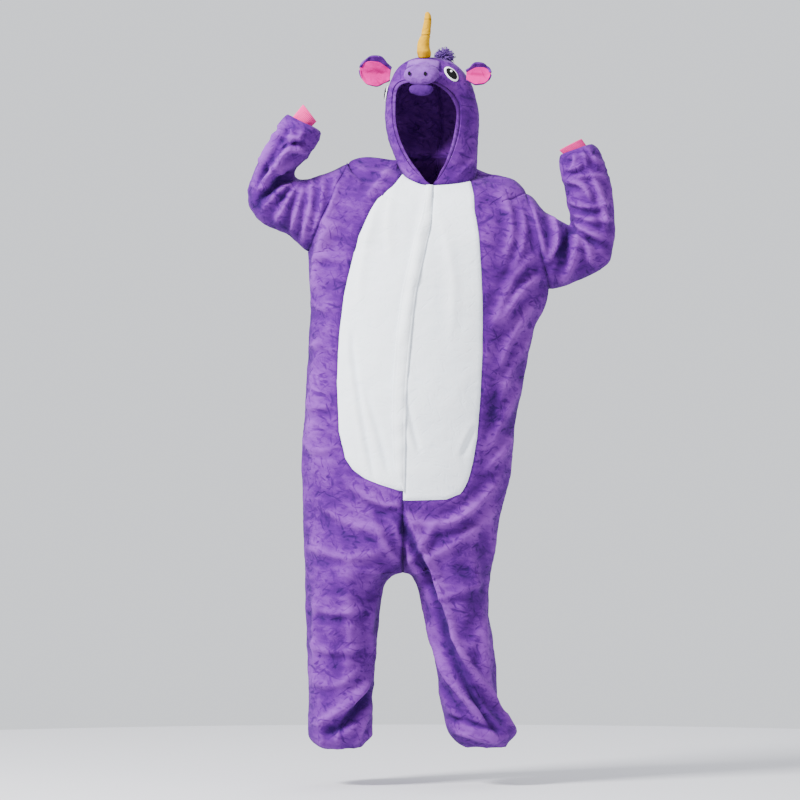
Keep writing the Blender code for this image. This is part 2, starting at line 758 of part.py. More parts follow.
def ankle_panel(side):
    across = np.linspace(0, 1, COLUMNS)
    front = leg(side, "front", np.full(COLUMNS, HEM), across)
    back = leg(side, "back", np.full(COLUMNS, HEM), across)
    ring = np.concatenate([front, back[-2:0:-1]])
    middle = (ring.min(0) + ring.max(0)) / 2
    drop = np.array([0, 0, ANKLE_END - middle[2]])
    rings = np.stack([narrowed(ring, middle) + drop * share for share in CUFF_SHARES])
    return Panel("ankle_cuff_" + side, rings, "pink_rib", RIB, ring=True, flip=side == "left")


# ---- the hood's trimmings -----------------------------------------------------------------------------


def hood_normal(side, s, t, step=0.01):
    """The hood's outward direction, from its slopes just behind and below the point."""
    here = hood(side, s, t)
    normal = np.cross(here - hood(side, s - step, t), here - hood(side, s, t - step))
    normal /= np.linalg.norm(normal, axis=-1, keepdims=True)
    return normal if side == "right" else -normal


def laid_on_hood(s, across, lift):
    """Points moved out from the hood. across is the distance from the crown seam, negative to the right."""
    s, across = np.broadcast_arrays(np.asarray(s, float), np.asarray(across, float))
    c = along(RIBS, 2 * s)
    found = {}
    for side in SIDES:
        lean = CROWN_LEAN if side == "right" else -CROWN_LEAN
        reach = HEAD_HALF_WIDTH * np.sin(np.radians(c["turn"])) + lean
        up = np.arccos(np.clip(np.abs(across) / reach, 0, 1) ** (1 / c[side]))
        t = HOOD_SPLIT + (1 - HOOD_SPLIT) * up / (np.pi / 2)
        found[side] = hood(side, s, t) + hood_normal(side, s, t) * lift
    return np.where((across < 0)[..., None], found["right"], found["left"])


RING = 12


def around():
    return 2 * np.pi * np.arange(RING) / RING


def base_rings(s, half_s, half_across, lift, shares=(0.15, 0.6, 1.0)):
    """Rings on the hood, from the middle of a round patch out to its edge, moved out by a lift."""
    turn = around()
    return [
        laid_on_hood(s + half_s * share * np.sin(turn), half_across * share * np.cos(turn), lift)
        for share in shares
    ]


def oval(c, k):
    """Section k of a stuffed piece: an oval between its top and bottom in the head's middle plane."""
    turn = around()
    x = c["half"][k] * np.cos(turn)
    y = (c["y_top"][k] + c["y_low"][k]) / 2 - (c["y_top"][k] - c["y_low"][k]) / 2 * np.sin(turn)
    z = (c["z_top"][k] + c["z_low"][k]) / 2 - (c["z_top"][k] - c["z_low"][k]) / 2 * np.sin(turn)
    return head_place(x, y, z)


def add_muzzle_and_jaw():
    base = base_rings(*MUZZLE_BASE, BASE_GAP)
    add_rings("muzzle", base + [oval(MUZZLE, k) for k in range(len(MUZZLE["half"]))], "lilac_plush")
    add_rings("jaw", [oval(JAW, k) for k in range(len(JAW["half"]))], "purple_plush")


def add_bridge():
    """The wedge between horn and muzzle: a patch of the hood, and a second grid raised above it."""
    s = np.linspace(BRIDGE_FROM, BRIDGE_TO, 4)[:, None]
    across = np.linspace(-1, 1, 8)[None, :]
    forward = (s - BRIDGE_FROM) / (BRIDGE_TO - BRIDGE_FROM)
    height = BRIDGE_RISE[0] + (BRIDGE_RISE[1] - BRIDGE_RISE[0]) * forward
    height = (height * (1 - 0.55 * across**4))[..., None]
    base = laid_on_hood(s, across * BRIDGE_HALF, BASE_GAP)
    top = laid_on_hood(s, across * BRIDGE_HALF, BASE_GAP + height)
    add_wall(Panel("bridge", top, "lilac_plush", wall=height, flip=True), (top - base) / height)


def add_nostrils():
    """Small ovals on the front of the muzzle."""
    turn = around()
    for side, (x, z) in NOSTRILS.items():
        rings = []
        for share, forward in ((0.3, 0.0), (1.0, 0.0), (1.0, 1.4), (0.3, 1.9)):
            at_x = x + NOSTRIL_SIZE[0] * share * np.cos(turn)
            at_z = z - NOSTRIL_SIZE[1] * share * np.sin(turn)
            rings.append(head_place(at_x, NOSTRIL_FRONT - forward + 0 * at_x, at_z))
        add_rings("nostril_" + side, rings, "black_felt")


def add_horn():
    """The stuffed horn: a patch of the hood carried up through circles."""
    rings = base_rings(HORN_AT, *HORN_BASE, BASE_GAP)
    for x, y, z, radius in zip(*(HORN[name] for name in ("x", "y", "z", "radius"))):
        turn = around()
        rings.append(head_place(x + radius * np.cos(turn), y - radius * np.sin(turn), z))
    add_rings("horn", rings, "gold_plush")


def add_eye(side):
    """White felt, black felt and a small light one, each laid on the one under it."""
    sign = -1 if side == "right" else 1
    centre, normal = hood(side, *EYES[side]), hood_normal(side, *EYES[side])
    level = np.cross((0, 0, 1), normal)
    level /= np.linalg.norm(level)
    steep = np.cross(normal, level)
    long = level * math.cos(EYE_TILT) * sign + steep * math.sin(EYE_TILT)
    short = np.cross(long, normal)
    lift = EYE_STANDS_OFF
    turn = around()[:, None]
    for name, (half_long, half_short) in EYE_SIZES.items():
        offset = np.zeros(3)
        if name == "eye_light":
            offset = steep * 5.5 - level * 1.0
        rings = []
        for share, up in ((0.25, 0), (1, 0), (1, EYE_THICK), (0.25, EYE_THICK)):
            flat = offset + (long * half_long * np.cos(turn) + short * half_short * np.sin(turn)) * share
            # Each disc bends with the hood: it falls away from its own tangent plane.
            drop = np.sum(flat**2, -1, keepdims=True) / (2 * EYE_BEND)
            rings.append(centre + flat + normal * (lift + up - drop))
        add_rings(name + "_" + side, rings, "black_felt" if name == "eye_black" else "white_felt")
        lift += EYE_THICK + LAID_GAP


def add_ear(side):
    """A cupped leaf: the purple back, and the pink front laid in it."""
    ear = EARS[side]
    sign = -1 if side == "right" else 1
    axis = np.array(ear["axis"]) / np.linalg.norm(ear["axis"])
    up = np.array(ear["up"]) - axis * np.dot(ear["up"], axis)
    up /= np.linalg.norm(up)
    front = np.cross(axis, up) * sign
    start = hood(side, *ear["at"]) + hood_normal(side, *ear["at"]) * EAR_STANDS_OFF
    reach = EAR_OUTLINE["along"][:, None, None]
    half = EAR_OUTLINE["half"][:, None, None] * ear["half"]
    v = np.linspace(-1, 1, 7)[None, :, None]
    cup = EAR_CUP * v**2 * np.sin(np.pi * np.clip(reach, 0.12, 0.9))
    points = start + axis * ear["long"] * reach + up * half * v + front * cup
    back = Panel("ear_" + side, points, "purple_plush", wall=4.0, flip=side == "left")
    normals = shared_normals([back])[0]
    add_wall(back, normals)
    inner = Panel("ear_lining_" + side, points[:, 1:-1], "pink_plush", wall=2.0, flip=side == "left")
    add_wall(inner, normals[:, 1:-1], lift=2.0 + 2 * LAID_GAP)


def add_mane():
    """Each tuft of the mane is a plain round solid of its reach, just clear of the hood."""
    turn = around()
    for k, (s, t, radius) in enumerate(zip(*(TUFTS[name] for name in ("s", "t", "radius")))):
        centre = hood("left", s, t) + hood_normal("left", s, t) * (radius + TUFT_STANDS_OFF)
        rings = []
        for share in (-0.98, -0.8, -0.4, 0, 0.4, 0.8, 0.98):
            ring = radius * math.sqrt(1 - share * share)
            level = np.stack([ring * np.cos(turn), -ring * np.sin(turn), radius * share + 0 * turn], -1)
            rings.append(centre + level)
        add_rings("mane_tuft_%d" % (k + 1), rings, "mane_pile")


def main():
    for old in list(bpy.data.objects):
        bpy.data.objects.remove(old)
    panels = [p for side in SIDES for p in body_panels(side)]
    panels += [sleeve_panel(side) for side in SIDES]
    panels += [hood_panel(side) for side in SIDES]
    panels += [band_panel(side) for side in SIDES]
    for panel, normals in zip(panels, shared_normals(panels)):
        panel.points = folded(panel.points, normals, panel.rows)
    for panel, normals in zip(panels, shared_normals(panels)):
        add_wall(panel, normals)
    placket = placket_panel({p.name: p.points for p in panels})
    add_wall(placket, shared_normals([placket])[0], lift=PLUSH + PLACKET_GAP)
    for side in SIDES:
        for cuff in (wrist_panel(side), ankle_panel(side)):
            add_wall(cuff, shared_normals([cuff])[0])
        add_eye(side)
        add_ear(side)
    add_muzzle_and_jaw()
    add_bridge()
    add_nostrils()
    add_horn()
    add_mane()


main()
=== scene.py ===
# %% [markdown]
# # A hooded unicorn onesie in plush flannel
# The garment is shown as it hangs on a wearer who isn't there: both arms raised, the legs a little
# apart. Plush flannel is a thin knitted cloth brushed up into a soft pile, so what the eye sees is
# its folds, its soft seams, and patches where the pile lies another way and looks lighter or darker.
# Each cut piece is worked out here as a surface of two parameters, creased by listed folds and
# given the thickness of the cloth.

# %% the frame and the tools
import math

import bpy
import numpy as np
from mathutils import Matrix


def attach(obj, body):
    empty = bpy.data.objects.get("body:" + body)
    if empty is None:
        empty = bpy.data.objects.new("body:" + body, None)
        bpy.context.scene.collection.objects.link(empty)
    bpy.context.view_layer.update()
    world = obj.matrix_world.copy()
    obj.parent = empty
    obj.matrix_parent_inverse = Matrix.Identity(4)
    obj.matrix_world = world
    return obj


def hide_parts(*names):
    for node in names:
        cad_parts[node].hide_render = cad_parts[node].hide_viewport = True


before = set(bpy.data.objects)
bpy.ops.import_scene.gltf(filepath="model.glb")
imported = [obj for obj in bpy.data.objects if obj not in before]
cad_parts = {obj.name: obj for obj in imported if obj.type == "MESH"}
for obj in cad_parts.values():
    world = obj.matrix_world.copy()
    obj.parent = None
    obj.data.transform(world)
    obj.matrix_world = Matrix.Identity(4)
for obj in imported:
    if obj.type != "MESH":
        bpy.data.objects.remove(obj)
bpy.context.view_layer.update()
MM = 0.001
SIDES = ("right", "left")  # the wearer's
print("nodes in the frame:", len(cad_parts))

# %% [markdown]
# ## The camera
# It stands level with the middle of the garment and a long way off, with a long lens, so that the
# garment keeps its true proportions.

# %% the camera
AWAY, SEEN_WIDTH, SENSOR = 14.0, 1.888, 36.0  # metres, metres across at the garment, millimetres
camera = bpy.data.objects.new("camera", bpy.data.cameras.new("camera"))
bpy.context.scene.collection.objects.link(camera)
camera.location = (-0.059, -AWAY, -0.543)  # level with the middle of what is seen
camera.rotation_euler = (math.radians(90), 0, 0)
camera.data.sensor_width = SENSOR
camera.data.lens = SENSOR * AWAY / SEEN_WIDTH
camera.data.clip_end = 100.0
bpy.context.scene.camera = camera
print("lens", round(camera.data.lens), "mm")

# %% [markdown]
# ## The studio
# A round pale floor, a pale surround and large soft lamps. The main one stands high on the
# wearer's right, so that the folds throw soft shade downwards and to the wearer's left.

# %% floor, surround and lamps
FLOOR_Z, FLOOR_RADIUS = -1.451, 2.6
AIM = (-0.03, 0, -0.5)
LAMPS = {  # place, size in metres, power in watts
    "key": ((-3.0, -2.7, 2.6), 1.3, 700),
    "fill": ((3.4, -3.2, 0.4), 2.6, 30),
    "back": ((1.2, 3.6, 2.4), 2.0, 60),
}


def linear(text, alpha=1.0):
    """An sRGB hex colour as linear red, green, blue and alpha."""
    c = np.array([int(text[k : k + 2], 16) / 255 for k in (1, 3, 5)])
    c = np.where(c <= 0.04045, c / 12.92, ((c + 0.055) / 1.055) ** 2.4)
    return (*map(float, c), alpha)


def add_node(tree, kind, inputs=(), **settings):
    """Adds one node, with its settings and inputs, each a value or another node's output."""
    node = tree.nodes.new(kind)
    for name, value in settings.items():
        setattr(node, name, value)
    for name, value in dict(inputs).items():
        if isinstance(value, bpy.types.NodeSocket):
            tree.links.new(value, node.inputs[name])
        else:
            node.inputs[name].default_value = value
    return node


def new_material(name):
    """An empty Principled material: its tree and its shader."""
    made = bpy.data.materials.new(name)
    made.use_nodes = True
    return made, made.node_tree, made.node_tree.nodes["Principled BSDF"]


def circle(count):
    """Angles of evenly spaced points on a circle."""
    return 2 * np.pi * np.arange(count) / count


rim_turns = circle(96)
floor_points = FLOOR_RADIUS * np.stack([np.cos(rim_turns), np.sin(rim_turns), 0 * rim_turns], -1)
floor_mesh = bpy.data.meshes.new("floor")
floor_mesh.from_pydata((floor_points + (0, 0, FLOOR_Z)).tolist(), [], [list(range(96))])
floor = bpy.data.objects.new("floor", floor_mesh)
bpy.context.scene.collection.objects.link(floor)
painted, _, shader = new_material("pale_painted_floor")
shader.inputs["Base Color"].default_value = linear("#d2d2d6")
shader.inputs["Roughness"].default_value = 0.9
floor_mesh.materials.append(painted)

world = bpy.data.worlds.new("pale_surround")
world.use_nodes = True
background = world.node_tree.nodes["Background"].inputs
background["Color"].default_value = linear("#f6f9ff")
background["Strength"].default_value = 1.15
bpy.context.scene.world = world
for name, (place, size, power) in LAMPS.items():
    lamp = bpy.data.objects.new(name, bpy.data.lights.new(name, "AREA"))
    lamp.data.size, lamp.data.energy = size, power
    lamp.location = place
    x, y, z = aim = np.array(AIM) - np.array(place)
    tilt = math.acos(-z / np.linalg.norm(aim))
    lamp.rotation_euler = (tilt, 0, math.atan2(y, x) - math.pi / 2)
    bpy.context.scene.collection.objects.link(lamp)
print("lamps made")

# %% [markdown]
# ## The form of the garment
# The solids of the frame were worked out from tables of sections, and the same tables and formulas
# give the fine surface here, so every piece lies where its solid is. Each row of a table is one
# section, in millimetres, with the origin midway between the shoulders. A smooth curve that never
# overshoots runs through the rows.

# %% reading tables between their rows
def table(names, *rows):
    """Columns of a table as a dict of arrays, one entry for each section."""
    return dict(zip(names.split(), np.array(rows, float).T))


def slopes(values):
    """Slopes of a smooth curve through the sections, which never overshoots them."""
    step = np.diff(values)
    before, after = step[:-1], step[1:]
    inner = np.where(before * after > 0, 2 * before * after / (before + after + 1e-12), 0)
    return np.concatenate([step[:1], inner, step[-1:]])


def eased(a, slope_a, b, slope_b, f):
    """A smooth curve from a to b as f goes from 0 to 1, with the given slopes at its ends."""
    start = a * (1 + 2 * f) * (1 - f) ** 2 + slope_a * f * (1 - f) ** 2
    return start + b * f * f * (3 - 2 * f) + slope_b * f * f * (f - 1)


def bell(x, width=1.0):
    """1 at 0, and nothing a few widths away."""
    return np.exp(-((x / width) ** 2))


def between(c, name, lift):
    """A coordinate of a section, from its low side (lift -1) to its top one (lift 1)."""
    top, low = c[name + "_top"], c[name + "_low"]
    return (top + low) / 2 + (top - low) / 2 * lift


def along(columns, row):
    """Each column read at a fractional section number."""
    row = np.asarray(row, float)
    count = len(next(iter(columns.values())))
    below = np.clip(np.floor(row).astype(int), 0, count - 2)
    found = {}
    for name, values in columns.items():
        m = slopes(values)
        ends = values[below], m[below], values[below + 1], m[below + 1]
        found[name] = eased(*ends, row - below)
    return found


# %% sections of the trunk and the legs
# The trunk, from the crotch to the neck. mid is the centre front, right and left the side seams.
TRUNK = table(
    "z_mid x_mid z_right x_right z_left x_left front back z_back x_back",
    (-949, -52, -949, -283, -949, 156, -138, 140, -949, -52),  # crotch
    (-829, -52, -829, -288, -835, 175, -150, 152, -829, -52),  # top of the rise
    (-700, -51, -700, -291, -712, 203, -158, 150, -695, -50),  # hip
    (-560, -50, -560, -284, -590, 215, -158, 142, -548, -44),  # waist
    (-420, -40, -420, -276, -475, 238, -152, 138, -400, -28),
    (-300, -27, -300, -271, -375, 258, -146, 135, -265, -6),  # chest
    (-200, -5, -194, -277, -283, 293, -136, 130, -145, 12),  # armpit
    (-110, 13, 17, -182, -54, 238, -116, 112, -48, 24),  # shoulder tip
    (-38, 16, 20, -64, -12, 122, -84, 74, 36, 30),  # neck
)
ARMPIT, TIP, NECK = 6, 7, 8
SHOULDER_ARCH = 15.0  # how far the shoulder seam bows up between tip and neck
# How far short of a quarter turn a section stops where it meets a sleeve.
ARMHOLE_FLATTENS = math.radians(42.0)

# The legs, from the crotch down to the hem, where the cloth turns in and up to the ankle cuff.
LEGS = table(
    "z_right inner_right outer_right z_left inner_left outer_left front back",
    (-949, -52, -283, -949, -52, 156, -138, 140),
    (-953, -70, -283, -953, -38, 155, -137.5, 139.5),
    (-966, -87, -283, -966, -27, 153, -136, 138),
    (-992, -100, -283, -992, -15, 149, -133, 135),
    (-1035, -106, -282, -1035, -5, 148, -127, 130),
    (-1105, -113, -281, -1105, 11, 160, -116, 120),
    (-1180, -118, -277, -1180, 26, 168, -106, 112),
    (-1250, -123, -275, -1250, 36, 171, -100, 108),
    (-1300, -124, -276, -1295, 46, 201, -98, 108),
    (-1330, -123, -277, -1326, 53, 217, -93, 102),
    (-1352, -140, -263, -1351, 76, 198, -76, 84),
    (-1362, -152, -238, -1362, 98, 191, -54, 58),
    (-1352, -154, -228, -1352, 108, 182, -42, 45),
    (-1330, -154, -227, -1330, 108, 181, -40, 43),
    (-1308, -154, -227, -1308, 108, 181, -39, 42),
)
HEM_ROW = 14

# %% sections of the sleeves and the cuffs
# From the armhole over the bent elbow to the wrist, where the cloth turns in to the cuff. top and
# low are the two sides of a section.
SLEEVES = {
    "right": table(
        "x_top z_top x_low z_low y depth",
        (-182, 17, -277, -194, 0, 92),
        (-210, 2, -300, -175, -2, 88),
        (-248, -14, -328, -151, -6, 80),
        (-278, -21, -361, -137, -12, 73),
        (-297, -20, -396, -111, -18, 67),
        (-304, -14, -419, -80, -23, 63),
        (-305, -7, -420, -54, -27, 60),
        (-302, 2, -409, -24, -31, 59),
        (-293, 12, -396, 9, -35, 58),
        (-279, 26, -382, 37, -39, 57),
        (-266, 46, -368, 64, -43, 56),
        (-252, 66, -350, 88, -47, 54),
        (-246, 84, -338, 115, -50, 50),
        (-262, 96, -323, 128, -52, 38),
        (-275, 90, -317, 122, -53, 28),
        (-283, 81, -321, 113, -52, 27),
    ),
    "left": table(
        "x_top z_top x_low z_low y depth",
        (238, -54, 293, -283, 0, 92),
        (265, -76, 321, -278, -2, 88),
        (284, -101, 346, -269, -6, 80),
        (308, -116, 379, -255, -12, 73),
        (329, -126, 413, -238, -18, 67),
        (339, -131, 436, -218, -23, 63),
        (342, -122, 444, -177, -27, 60),
        (340, -103, 446, -130, -31, 59),
        (334, -78, 442, -76, -35, 58),
        (328, -52, 437, -35, -39, 57),
        (321, -22, 428, -2, -43, 56),
        (318, 0, 418, 24, -47, 54),
        (315, 20, 407, 46, -50, 50),
        (320, 34, 392, 59, -52, 38),
        (326, 32, 382, 56, -53, 29),
        (333, 25, 387, 47, -52, 28),
    ),
}
CUFF_SEAM_ROW = 15
CUFF_SLACK = 2.2  # how much narrower a cuff is than the turned-in cloth round it
WRISTS = {  # the free edge of each wrist cuff
    "right": dict(x_top=-254, z_top=110, x_low=-288, z_low=153, y=-58, depth=27),
    "left": dict(x_top=314, z_top=43, x_low=369, z_low=72, y=-58, depth=27),
}
ANKLE_END = -1357.0

# %% where the white belly ends
# Where the purple front begins, by trunk section.
BELLY = {
    "right": table(
        "row x",
        (1.56, -51), (1.62, -75), (1.70, -108), (1.80, -142), (1.95, -170), (2.15, -188),
        (2.6, -203), (3.4, -208), (4.2, -203), (5.0, -192), (5.5, -181), (6.0, -168),
        (6.3, -157), (6.5, -138), (6.7, -118), (6.85, -105), (7.0, -99), (7.4, -79),
        (8.0, -54),
    ),
    "left": table(
        "row x",
        (1.40, -51), (1.45, 50), (1.56, 83), (1.62, 89), (1.70, 95), (1.80, 101),
        (1.95, 107), (2.15, 113), (2.6, 123), (3.4, 131), (4.2, 135), (5.0, 136),
        (6.0, 132), (6.3, 129), (6.5, 126), (6.7, 121), (6.85, 117), (7.0, 116),
        (7.4, 115), (8.0, 108),
    ),
}
NECK_WHITE = 0.66  # share of the half neckline that is white
BAND_REACHES = {"right": 0.165, "left": 0.03}  # of the front band over each half, as a share of it

# %% [markdown]
# A trunk section is a quarter ellipse from the centre seam to the side seam, and below the crotch
# it slides outwards until it is a whole leg. A sleeve section is an oval between a top point and a
# low one, so a sleeve bends at the elbow simply by the way those points turn.

# %% surfaces of trunk, leg and sleeve
def leg(side, face, row, s):
    """A point of a leg. s runs from the inseam (0) over the front or back to the side seam (1)."""
    c = along(LEGS, row)
    inner, turn = c["inner_" + side], np.pi * s
    middle = (inner + c["outer_" + side]) / 2
    x = middle + (inner - middle) * np.cos(turn)
    return np.stack([x, c[face] * np.sin(turn), c["z_" + side] + 0 * s], -1)


def armhole_turn(row):
    """Where a trunk row meets the armhole: -90 degrees at the armpit, 90 at the shoulder tip."""
    return np.pi * (np.clip(row, ARMPIT, TIP) - ARMPIT - 0.5)


def tube_point(c, turn):
    """A point of a sleeve section. turn is -90 degrees underneath, 0 at the front and 90 on top."""
    lift = np.sin(turn)
    y = c["y"] - c["depth"] * np.cos(turn)
    return np.stack([between(c, "x", lift), y, between(c, "z", lift)], -1)


def trunk_ends(side, face, row):
    """The two ends of a trunk section, at the centre seam and at the outer one, and its last angle."""
    c = along(TRUNK, np.where(row < 1, 1 - np.cos(np.pi / 2 * np.clip(row, 0, 1)), row))
    first = {name: values[0] for name, values in SLEEVES[side].items()}
    turn = armhole_turn(row)
    arm = tube_point(first, turn if face == "front" else np.pi - turn)
    on_arm = (row > ARMPIT) & (row < TIP)
    past_tip = np.clip(row - TIP, 0, 1)
    arch = SHOULDER_ARCH * np.sin(np.pi * past_tip**0.7)
    seam = np.stack([c["x_" + side], 0 * row, c["z_" + side] + arch], -1)
    outer = np.where(on_arm[..., None], arm, seam)
    names = ("x_mid", "front", "z_mid") if face == "front" else ("x_back", "back", "z_back")
    centre = np.stack([c[name] for name in names], -1)
    end = np.pi / 2 - ARMHOLE_FLATTENS * np.where(on_arm, np.cos(turn), 0)
    return centre, outer, end


def trunk(side, face, row, s):
    """A point of the trunk. s runs from the centre seam (0) to the side seam or armhole (1)."""
    row, s = np.broadcast_arrays(np.asarray(row, float), np.asarray(s, float))
    centre, outer, end = trunk_ends(side, face, row)
    # In the rise the section is an ellipse that slides outwards until it is a whole leg.
    slide = np.cos(np.pi / 2 * np.clip(row, 0, 1))
    middle = (centre[..., 0] + slide * outer[..., 0]) / (1 + slide)
    turn = np.arccos(slide) + (np.pi - np.arccos(slide)) * s
    rise_x = middle + (middle - outer[..., 0]) * np.cos(turn)
    rise_y = centre[..., 1] * np.sin(turn)
    # Above it a section is a quarter ellipse, cut short where a sleeve carries it on.
    reach = np.sin(s * end) / np.sin(end)
    back = (1 - np.cos(s * end)) / (1 - np.cos(end))
    x = np.where(row < 1, rise_x, centre[..., 0] + (outer[..., 0] - centre[..., 0]) * reach)
    y = np.where(row < 1, rise_y, centre[..., 1] + (outer[..., 1] - centre[..., 1]) * back)
    share = (x - centre[..., 0]) / (outer[..., 0] - centre[..., 0])
    share = share + (back - share) * np.clip((row - ARMPIT) / (NECK - ARMPIT), 0, 1)
    z = centre[..., 2] + (outer[..., 2] - centre[..., 2]) * share
    return np.stack([x, y, z], -1)


def body(side, face, row, s):
    """A point of the half body. Negative rows are the leg, rows from 0 to 8 the trunk."""
    row, s = np.broadcast_arrays(np.asarray(row, float), np.asarray(s, float))
    low = leg(side, face, np.maximum(-row, 0), s)
    return np.where((row < 0)[..., None], low, trunk(side, face, np.maximum(row, 0), s))


def belly_share(side, row):
    """How much of the half front is white at a trunk section."""
    t = BELLY[side]
    centre, outer, end = trunk_ends(side, "front", np.asarray(row, float))
    x = np.interp(row, t["row"], t["x"])
    reach = np.clip((x - centre[..., 0]) / (outer[..., 0] - centre[..., 0]), 0, 1)
    share = np.where(row < NECK, np.arcsin(reach * np.sin(end)) / end, NECK_WHITE)
    return share * (row > t["row"][0])


def sleeve(side, row, turn):
    """A point of a sleeve, from its section number and the turn round it."""
    return tube_point(along(SLEEVES[side], row), turn)


# %% [markdown]
# The hood is made of ribs. Each leaves the neckline leaning outwards, is upright at the widest part
# of the head, and closes over it as a full quarter ellipse to the crown seam.

# %% the hood's ribs and surface
HEAD_AT = np.array([16.0, 12.0, 0.0])
HEAD_TURN = math.radians(-12.0)
HOOD_SPLIT = 0.5  # share of a hood rib that lies below the widest part of the head

# Ribs of the hood, from the centre back (0) past the shoulder (1) to the face (2). The lower the
# last two columns are, the fuller the crown is on that side.
RIBS = table(
    "turn z_wide y_crown z_crown right left",
    (0, 112, 96, 196, 1.0, 1.0),
    (36, 114, 62, 250, 0.92, 0.96),
    (70, 118, 14, 267, 0.84, 0.94),
    (102, 122, -58, 264, 0.78, 0.86),
    (131, 130, -106, 211, 0.46, 1.02),
)
CROWN_LEAN = -6.0  # the crown seam sits a little to the wearer's right
HEAD_HALF_WIDTH = 111.0
HEAD_BACK, HEAD_FRONT = 120.0, 98.0
FACE = 2.0
BAND_WIDTH = 11.0  # the strip turned in round the face
BAND_WIDENS = 0.14  # how far up the face edge it has its whole width


def head_place(x, y, z):
    """A point given in the upright axes of the turned head."""
    x, y, z = np.broadcast_arrays(x, y, z)
    cos, sin = math.cos(HEAD_TURN), math.sin(HEAD_TURN)
    return np.stack([x * cos - y * sin, x * sin + y * cos, z], -1) + HEAD_AT


def hood(side, s, t):
    """A point of the half hood. s runs from the centre back (0) to the face (2), t up to the crown."""
    s, t = np.broadcast_arrays(np.asarray(s, float), np.asarray(t, float))
    sign = -1 if side == "right" else 1
    back_neck = body(side, "back", NECK, np.clip(s, 0, 1))
    front_neck = body(side, "front", NECK, np.clip(FACE - s, 0, 1))
    neck = np.where((s <= 1)[..., None], back_neck, front_neck)
    c = along(RIBS, 2 * s)
    turn = np.radians(c["turn"])
    deep = np.where(turn < np.pi / 2, HEAD_BACK, HEAD_FRONT)
    wide = head_place(sign * HEAD_HALF_WIDTH * np.sin(turn), deep * np.cos(turn), c["z_wide"])
    crown = head_place(CROWN_LEAN, c["y_crown"], c["z_crown"])
    # Below the widest part the rib leaves the neck leaning out and ends upright.
    f = np.clip(t / HOOD_SPLIT, 0, 1)[..., None]
    out = 1.2 + 0.5 * (s[..., None] / FACE) ** 4
    lean = (wide - neck) * np.concatenate([out, out, 2.2 - out], -1)
    upright = (wide - neck) * np.array([0, 0, 1.1])
    low = eased(neck, lean, wide, upright, f)
    # Above it the rib is a full quarter ellipse that ends level at the centre seam.
    up = np.pi / 2 * np.clip((t - HOOD_SPLIT) / (1 - HOOD_SPLIT), 0, 1)[..., None]
    upward = np.array([0, 0, 1])
    square = c[side][..., None]
    across = 1 - np.abs(np.cos(up)) ** square
    high = wide + (crown - wide) * (across * (1 - upward) + np.sin(up) ** square * upward)
    return np.where((t < HOOD_SPLIT)[..., None], low, high)
